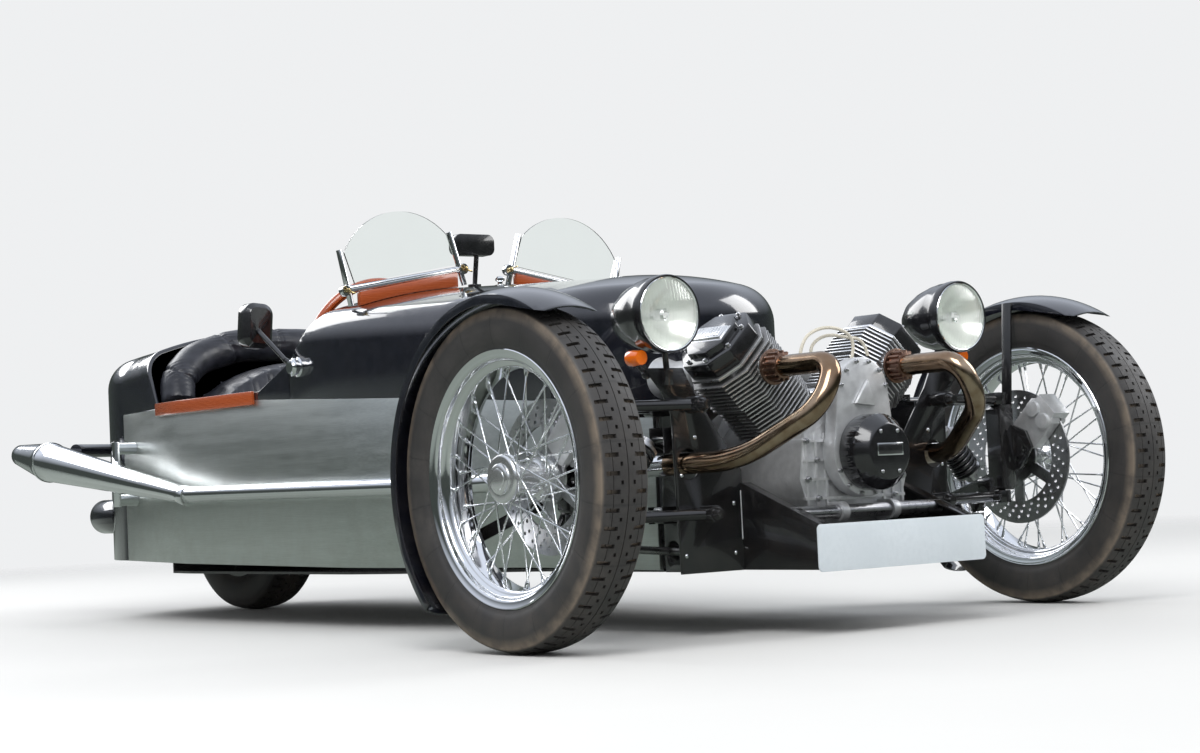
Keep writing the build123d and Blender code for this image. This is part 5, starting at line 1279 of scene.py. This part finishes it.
@dataclass(frozen=True)
class Fittings:
    """Bright stays and tube, rivets, weld beads, screen lugs, wing nuts, mirrors, knob and dials."""

    plate_front: float = -0.045
    cradle_x: float = 0.211
    mount_tube: Point = (-0.180, 0.234)
    tube_half: float = 0.2
    tube_reach: float = 0.0155
    mirror_low: float = 0.69
    mirror_facing: float = 0.97
    mirror_foot: Place = (-0.441, 1.277, 0.622)
    knob_foot: Place = (0.0, 1.055, 0.803)
    lens_height: float = 0.0325
    lens_depth: float = 0.0165
    weld_foot: float = 0.190
    weld_pitch: float = 0.0032
    weld_count: int = 30
    screen_y: float = 1.115
    rail_ends: tuple[Point, ...] = ((0.068, 0.848), (0.402, 0.790))
    rail_radius: float = 0.0075
    nut_face: float = 0.0085
    dash_rear: float = 1.179
    guard_edge: float = 0.6395
    rivets: tuple[Point, ...] = ((0.323, 0.393), (0.360, 0.319), (0.361, 0.241), (0.357, 0.162),
                                 (0.230, 0.162), (0.230, 0.260))
    dial_places: tuple[tuple[str, float, float, float], ...] = (
        ("speed", 0.0, 0.700, 0.046), ("fuel", 0.105, 0.690, 0.028), ("charge", -0.105, 0.700, 0.028))
    first_tick: float = -120.0
    tick_step: float = 24.0
    ticks: int = 11
    hand_at: int = 2

    def build(self) -> None:
        """Adds the fittings of both sides."""
        self.second_finishes()
        self.frame_details()
        self.screen_details()
        self.mirror_bosses()
        self.knob()
        self.dials()

    def second_finishes(self) -> None:
        """Brightens the stays, the cross tube, the mirrors' glass and the tail lamps' cases."""
        tube_y = at(0, self.mount_tube[0], 0).y

        def on_tube(middle: Vector, normal: Vector) -> bool:
            """Whether a place lies on the cross tube under the engine."""
            off = math.hypot(middle.y - tube_y, middle.z - self.mount_tube[1])
            return abs(middle.x) < self.tube_half and off < self.tube_reach

        repaint("front_frame", STEEL, on_tube)
        for side in ("left", "right"):
            repaint(f"mudguard_{side}", STEEL, lambda middle, normal: abs(middle.x) < self.guard_edge)
        repaint("mirrors", MIRROR_FACE, lambda middle, normal: normal.y > self.mirror_facing and
                middle.z > self.mirror_low)
        lens_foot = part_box("indicators")[1].z - self.lens_height
        repaint("indicators", FRAME_BLACK, lambda middle, normal: middle.z < lens_foot)
        lens_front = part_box("tail_lamps")[1].y - self.lens_depth
        repaint("tail_lamps", GLOSS_BLACK, lambda middle, normal: middle.y < lens_front)

    def frame_details(self) -> None:
        """Adds rivets on the bulkhead plates and weld beads where they meet the cradle."""
        heads, beads = [], []
        for side in (-1, 1):
            heads += [standing(at(side * x, self.plate_front, z), -Y_AXIS) for x, z in self.rivets]
            out = Vector((side, -1, 0)).normalized()
            heights = (self.weld_foot + self.weld_pitch * i for i in range(self.weld_count))
            beads += [standing(at(side * self.cradle_x, self.plate_front, z), out) for z in heights]
        clothe(scatter("bulkhead_rivets", dome_head(0.0048), heads), CHROME)
        clothe(scatter("weld_beads", dome_head(0.0024), beads), STEEL)

    def wing_nut(self) -> Piece:
        """Wing nut on its lug, standing on Z = 0."""
        profile = [(-0.009, 0.0), (-0.009, 0.0125), (-0.007, 0.0135), (0.006, 0.0135), (0.008, 0.012),
                   (0.008, 0.0)]
        lug = lathe("lug", profile, Vector(), Z_AXIS, 28)
        hub = bar("hub", Z_AXIS * 0.007, Z_AXIS * 0.017, 0.0062, sides=16, end_radius=0.0048)
        outline = [(0.002, 0.010), (0.004, 0.015), (0.012, 0.023), (0.017, 0.022), (0.017, 0.017),
                   (0.010, 0.010)]
        wings = [plate("wing", [Vector((sx * x, -0.0011, z)) for x, z in outline], Y_AXIS * 0.0022, 0.0005)
                 for sx in (-1, 1)]
        return join("wing nut", [lug, hub, *wings])

    def screen_details(self) -> None:
        """Adds each screen's rail, with a lug and a wing nut at both of its ends."""
        places = [standing(at(side * x, self.screen_y, z), -Y_AXIS, side * 0.5)
                  for side in (-1, 1) for x, z in self.rail_ends]
        for side, name in SIDES:
            start, end = (at(side * x, self.screen_y, z) for x, z in self.rail_ends)
            clothe(bar(f"screen_rail_{name}", start, end, self.rail_radius), TURNED_ALUMINIUM)
        nuts = scatter("screen_wing_nuts", self.wing_nut(), places)
        clothe(nuts, BRASS)
        nuts.data.materials.append(CHROME.material())
        front = at(0, self.screen_y - self.nut_face, 0).y
        for face in nuts.data.polygons:
            face.material_index = int(face.center.y > front)

    def mirror_bosses(self) -> None:
        """Adds the double ring at the foot of the side mirror's stalk."""
        profile = [(-0.004, 0.0), (-0.004, 0.0235), (0.004, 0.0235), (0.007, 0.0185), (0.012, 0.0185),
                   (0.014, 0.0215), (0.019, 0.0215), (0.022, 0.0175), (0.027, 0.0155), (0.030, 0.0)]
        clothe(lathe("side_mirror_boss", profile, at(*self.mirror_foot), -X_AXIS, 48), CHROME)

    def knob(self) -> None:
        """Adds the bright knob on the scuttle, ahead of the screens."""
        profile = [(-0.008, 0.0), (-0.008, 0.013), (0.001, 0.013), (0.003, 0.006), (0.009, 0.006),
                   (0.012, 0.0115), (0.017, 0.0115), (0.021, 0.008), (0.023, 0.0)]
        clothe(lathe("scuttle_knob", profile, at(*self.knob_foot), Z_AXIS, 32), CHROME)

    def dials(self) -> None:
        """Adds three dials with plain tick marks on the dashboard."""
        for name, x, z, radius in self.dial_places:
            centre = at(x, self.dash_rear, z)
            bezel = [(-0.002, radius), (0.006, radius), (0.009, radius - 0.002), (0.007, radius - 0.005),
                     (0.003, radius - 0.005), (-0.002, radius - 0.005)]
            clothe(lathe(f"dial_bezel_{name}", loop(bezel), centre, Y_AXIS, 48), CHROME)
            face = [(-0.001, 0.0), (-0.001, radius - 0.004), (0.003, radius - 0.004), (0.003, 0.0)]
            clothe(lathe(f"dial_face_{name}", face, centre, Y_AXIS, 48), DIAL_FACE)
            ends = (Vector((0, 0.0033, radius * share)) for share in (0.68, 0.80))
            tick = bar("tick", *ends, 0.0007, 6)
            angles = (math.radians(self.first_tick + self.tick_step * i) for i in range(self.ticks))
            turns = [Matrix.Translation(centre) @ Matrix.Rotation(angle, 4, "Y") for angle in angles]
            hand = bar("hand", Vector((0, 0.0045, -0.006)), Vector((0, 0.0045, radius * 0.66)), 0.0010, 6,
                       end_radius=0.0004)
            hand.data.transform(turns[self.hand_at])
            marks = join("marks", [scatter("ticks", tick, turns), hand])
            marks.name = f"dial_marks_{name}"
            clothe(marks, ENGINE_BLACK)


@dataclass(frozen=True)
class SteeringWheel:
    """Wood rim with bright spokes and hub on a black column."""

    centre: Place = (-0.215, 1.322, 0.672)
    axis: Place = (0.0, 0.92718, 0.37461)
    rim_inside: float = 0.150
    hub_radius: float = 0.034

    def build(self) -> None:
        """Finishes the rim, the spokes and the column."""
        soften_node("steering_wheel", WOOD, 0.001)
        centre, axis = at(*self.centre), Vector(self.axis)

        def radius(middle: Vector) -> float:
            """How far a place lies from the column's axis."""
            return ((middle - centre) - axis * (middle - centre).dot(axis)).length

        repaint("steering_wheel", STEEL, lambda middle, normal: radius(middle) < self.rim_inside)
        repaint("steering_wheel", ENGINE_BLACK, lambda middle, normal: radius(middle) < self.hub_radius)


# Upholstery


@dataclass(frozen=True)
class Upholstery:
    """Bolster, squab and cushion, swollen by cloth simulation and then sewn into flutes."""

    voxel: float = 0.009
    start_inside: float = 0.005
    cap: float = 0.009
    pressure: float = 4.0
    frames: int = 20
    flute: float = 0.050
    seam_width: float = 0.0055
    seam_depth: float = 0.0075
    gather: float = math.radians(30)
    gather_z: float = 0.46
    gather_width: float = 0.03
    cushion_half: float = 0.335

    def build(self) -> None:
        """Makes the three pads from their CAD solids."""
        bolster = copy_node("coaming_pad", "bolster")
        self.swell(bolster)
        self.sew(bolster, self.bolster_depth)
        self.finish(bolster, "coaming_pad", 0.8)
        both = copy_node("seat", "seat_cushion")
        with editing(both):
            bpy.ops.mesh.separate(type="LOOSE")
        parts = sorted(bpy.context.selected_objects, key=lambda p: max(v.co.z for v in p.data.vertices))
        pads = (("seat_cushion", self.cushion_depth), ("seat_squab", self.squab_depth))
        for piece, (name, depth) in zip(parts, pads):
            piece.name = name
            self.swell(piece)
            self.sew(piece, depth)
            self.finish(piece, "seat", 0.6)

    def swell(self, piece: Piece) -> None:
        """Remeshes a pad, starts it a little inside and lets pressure round it, up to the cap."""
        modify(piece, "REMESH", mode="VOXEL", voxel_size=self.voxel)
        modify(piece, "SMOOTH", factor=0.7, iterations=5)
        for vertex, inward in [(v, v.normal.copy()) for v in piece.data.vertices]:
            vertex.co -= inward * self.start_inside
        start = [v.co.copy() for v in piece.data.vertices]
        lone(piece)
        cloth = piece.modifiers.new("Cloth", "CLOTH")
        cloth.settings.use_pressure = True
        cloth.settings.uniform_pressure_force = self.pressure
        cloth.settings.effector_weights.gravity = 0
        cloth.settings.quality = 4
        cloth.point_cache.frame_end = self.frames
        for frame in range(1, self.frames + 1):
            bpy.context.scene.frame_set(frame)
        bpy.ops.object.modifier_apply(modifier=cloth.name)
        for vertex, place in zip(piece.data.vertices, start):
            move = vertex.co - place
            if move.length > self.cap:
                vertex.co = place + move.normalized() * self.cap
        bpy.context.scene.frame_set(1)

    def groove(self, gap: float) -> float:
        """Depth of a sewn channel at a distance from its line."""
        return self.seam_depth * math.exp(-(gap / self.seam_width) ** 2)

    def flutes(self, x: float) -> float:
        """Depth of the fore-and-aft or upright channels at a width."""
        return self.groove(abs((x / self.flute + 0.5) % 1 - 0.5) * self.flute)

    def bolster_depth(self, place: Vector, out: Vector) -> float:
        """Gathers across the bolster, a fixed angle apart about the cockpit's middle."""
        angle = math.atan2(place.x, place.z - self.gather_z)
        reach = math.hypot(place.x, place.z - self.gather_z)
        gap = abs((angle / self.gather + 0.5) % 1 - 0.5) * self.gather * reach
        pull = math.exp(-(gap / self.gather_width) ** 2) * 0.0009 * math.sin(place.y * 400 + place.z * 300)
        return self.groove(gap) * 0.6 + pull

    def squab_depth(self, place: Vector, out: Vector) -> float:
        """Upright flutes on the squab's front, down to a seam above its foot."""
        front = max(0.0, min(1.0, -out.y * 2 - 0.3))
        return front * self.flutes(place.x)

    def cushion_depth(self, place: Vector, out: Vector) -> float:
        """Flutes along the cushion's top, inside a plain border."""
        top = max(0.0, min(1.0, out.z * 3 - 1.6))
        past = abs(place.x) - self.cushion_half
        return top * (self.flutes(place.x) if past < 0 else self.groove(past))

    def sew(self, piece: Piece, depth: Callable[[Vector, Vector], float]) -> None:
        """Doubles the mesh and presses the sewn channels into it."""
        modify(piece, "SUBSURF", levels=1, render_levels=1)
        for vertex, out in [(v, v.normal.copy()) for v in piece.data.vertices]:
            vertex.co -= out * depth(vertex.co, out)

    def finish(self, piece: Piece, node: str, fill: float) -> None:
        clothe(piece, LEATHER, nodes=[node], degrees=80.0)


# The stage


@dataclass(frozen=True)
class PhotoCamera:
    """Camera at the photograph's place: a station, heading, pitch and roll."""

    place: Place = (-3.2240, -3.5416, 0.3125)
    heading: float = 37.41
    pitch: float = 2.55
    roll: float = -2.66
    lens: float = 69.4
    rise: float = 0.00275

    def build(self) -> None:
        """Adds the camera and makes it the scene's own."""
        turn, lift, lean = (math.radians(a) for a in (self.heading, self.pitch, self.roll))
        ahead = Vector((math.sin(turn) * math.cos(lift), math.cos(turn) * math.cos(lift), math.sin(lift)))
        level = Vector((math.cos(turn), -math.sin(turn), 0))
        upright = level.cross(ahead)
        right = level * math.cos(lean) + upright * math.sin(lean)
        up = upright * math.cos(lean) - level * math.sin(lean)
        data = bpy.data.cameras.new("photo_camera")
        data.lens = self.lens
        data.sensor_width = 36.0
        data.shift_y = self.rise
        camera = bpy.data.objects.new("photo_camera", data)
        bpy.context.scene.collection.objects.link(camera)
        place = at(*self.place)
        turned = Matrix((right, up, -ahead)).transposed().to_4x4()
        camera.matrix_world = Matrix.Translation(place) @ turned
        bpy.context.scene.camera = camera


@dataclass(frozen=True)
class Studio:
    """Pale floor that fades into pale surroundings, and soft lamps."""

    floor_colour: Colour = (0.74, 0.74, 0.73)
    backdrop: Colour = (0.86, 0.87, 0.88)
    sky: Colour = (0.82, 0.88, 1.0)
    horizon: Colour = (0.055, 0.065, 0.06)
    floor_in_gloss: Colour = (0.20, 0.23, 0.20)
    fill: float = 0.7
    fade: Point = (2.6, 7.5)
    aim: Place = (0, -0.5, 0.4)
    lamps: tuple[tuple[str, Place, float, float], ...] = (
        ("key", (-3.2, -3.6, 4.4), 3.0, 190.0), ("side", (4.2, -2.4, 3.0), 2.6, 110.0),
        ("back", (-0.5, 4.8, 3.6), 3.4, 150.0))

    def build(self) -> None:
        """Adds the floor, the world and the lamps."""
        bpy.ops.mesh.primitive_plane_add(size=60)
        floor = bpy.context.object
        floor.name = "studio_floor"
        floor.data.materials.append(self.ground())
        self.surroundings()
        for name, place, size, power in self.lamps:
            data = bpy.data.lights.new(f"{name}_lamp", "AREA")
            data.size = size
            data.energy = power
            lamp = bpy.data.objects.new(f"{name}_lamp", data)
            lamp.location = place
            lamp.rotation_euler = (Vector(self.aim) - Vector(place)).to_track_quat("-Z", "Y").to_euler()
            bpy.context.scene.collection.objects.link(lamp)

    def ground(self) -> bpy.types.Material:
        """Floor, darker in reflections, that turns clear with distance so that no end shows."""
        colour = self.floor_colour
        made = Finish("pale floor", Slot.PLATE, colour, colour, size=0.05, roughness=(0.6, 0.7),
                      relief=0.00001).material()
        wiring = Wiring(made.node_tree)
        here = wiring.node("ShaderNodeTexCoord").outputs["Object"]
        far = wiring.node("ShaderNodeVectorMath", {0: here}, operation="LENGTH").outputs["Value"]
        clear = wiring.spread(far, *self.fade, 1.0, 0.0)
        shader = made.node_tree.nodes["Principled BSDF"].inputs
        usual = shader["Base Color"].links[0].from_socket
        glossy = wiring.node("ShaderNodeLightPath").outputs["Is Glossy Ray"]
        wiring.link(shader, Alpha=clear, Base_Color=wiring.mix(glossy, usual, (*self.floor_in_gloss, 1)))
        return made

    def surroundings(self) -> None:
        """Makes the world: a bright sky over a dark horizon in gloss, and a pale backdrop for the eye."""
        world = bpy.data.worlds.new("studio")
        world.use_nodes = True
        bpy.context.scene.world = world
        wiring = Wiring(world.node_tree)
        toward = wiring.node("ShaderNodeTexCoord").outputs["Generated"]
        height = wiring.node("ShaderNodeSeparateXYZ", {0: toward}).outputs["Z"]
        sky = wiring.mix(wiring.spread(height, 0.16, 0.55), (*self.horizon, 1), (*self.sky, 1))
        path = wiring.node("ShaderNodeLightPath").outputs
        seen = wiring.maths("MAXIMUM", path["Is Camera Ray"], path["Is Transmission Ray"])
        colour = wiring.mix(path["Is Glossy Ray"], (*self.backdrop, 1), sky)
        colour = wiring.mix(seen, colour, (*self.backdrop, 1))
        bright = wiring.maths("MAXIMUM", seen, path["Is Glossy Ray"])
        wiring.link(world.node_tree.nodes["Background"].inputs, Color=colour,
                    Strength=wiring.spread(bright, 0.0, 1.0, self.fill, 1.0))


# The whole car

AS_BUILT: dict[str, Finish | Glass] = {
    "floor_pan": FRAME_BLACK, "dashboard": WOOD, "gearbox": CAST_ALUMINIUM, "carburettors": CAST_ALUMINIUM,
    "rack_housing": CAST_ALUMINIUM, "rack_bar": STEEL, "rear_arm": FRAME_BLACK, "screen_glass": CLEAR_GLASS,
    "wheel_rear": FRAME_BLACK,
}
SOFT_EDGED: tuple[tuple[Finish | Glass, float, tuple[str, ...]], ...] = (
    (GLOSS_BLACK, 0.002, ("bonnet", "scuttle", "tail_shell")),
    (BRUSHED_PANEL, 0.001, ("side_panel_left", "side_panel_right")),
    (GLOSS_BLACK, 0.001, ("mudguard_left", "mudguard_right")),
    (FRAME_BLACK, 0.001, ("front_frame", "upper_wishbones", "lower_wishbones")),
    (FRAME_BLACK, 0.001, ("upright_left", "upright_right")),
    (CAST_ALUMINIUM, 0.002, ("caliper_left", "caliper_right")),
    (RED, 0.001, ("tail_lamps",)),
    (AMBER, 0.0015, ("indicators",)),
    (CAST_ALUMINIUM, 0.002, ("crankcase",)),
    (CAST_ALUMINIUM, 0.004, ("timing_cover",)),
    (ENGINE_BLACK, 0.003, ("alternator_cover",)),
    (CAST_ALUMINIUM, 0.0008, ("cylinder_left", "cylinder_right")),
    (ENGINE_BLACK, 0.004, ("rocker_covers",)),
    (CHROME, 0.001, ("exhaust_left", "exhaust_right", "screen_frames")),
    (ENGINE_BLACK, 0.003, ("mirrors",)),
    (PALE_PLATE, 0.0008, ("number_plate",)),
    (GLOSS_BLACK, 0.001, ("rear_bumper",)),
    (WOOD, 0.003, ("wood_trims",)),
)


def main() -> None:
    """Builds the car, sub-assembly by sub-assembly, and then the stage."""
    logging.basicConfig(level=logging.INFO, format="%(name)s %(message)s")
    bpy.context.scene.view_settings.view_transform = "Standard"
    for node, finish in AS_BUILT.items():
        paint_node(node, finish)
    for finish, edge, nodes in SOFT_EDGED:
        for node in nodes:
            soften_node(node, finish, edge)
    for side in ("left", "right"):
        Tyre(f"tyre_front_{side}", pitches=62, seat=0.2286, bead=0.0405).build()
        WireWheel(side).build()
    Tyre("tyre_rear", pitches=57, seat=0.1905, bead=0.0535).build()
    Headlamps().build()
    CoilSprings().build()
    EngineTrim().build()
    Fittings().build()
    SteeringWheel().build()
    Upholstery().build()
    PhotoCamera().build()
    Studio().build()


if __name__ == "__main__":
    main()
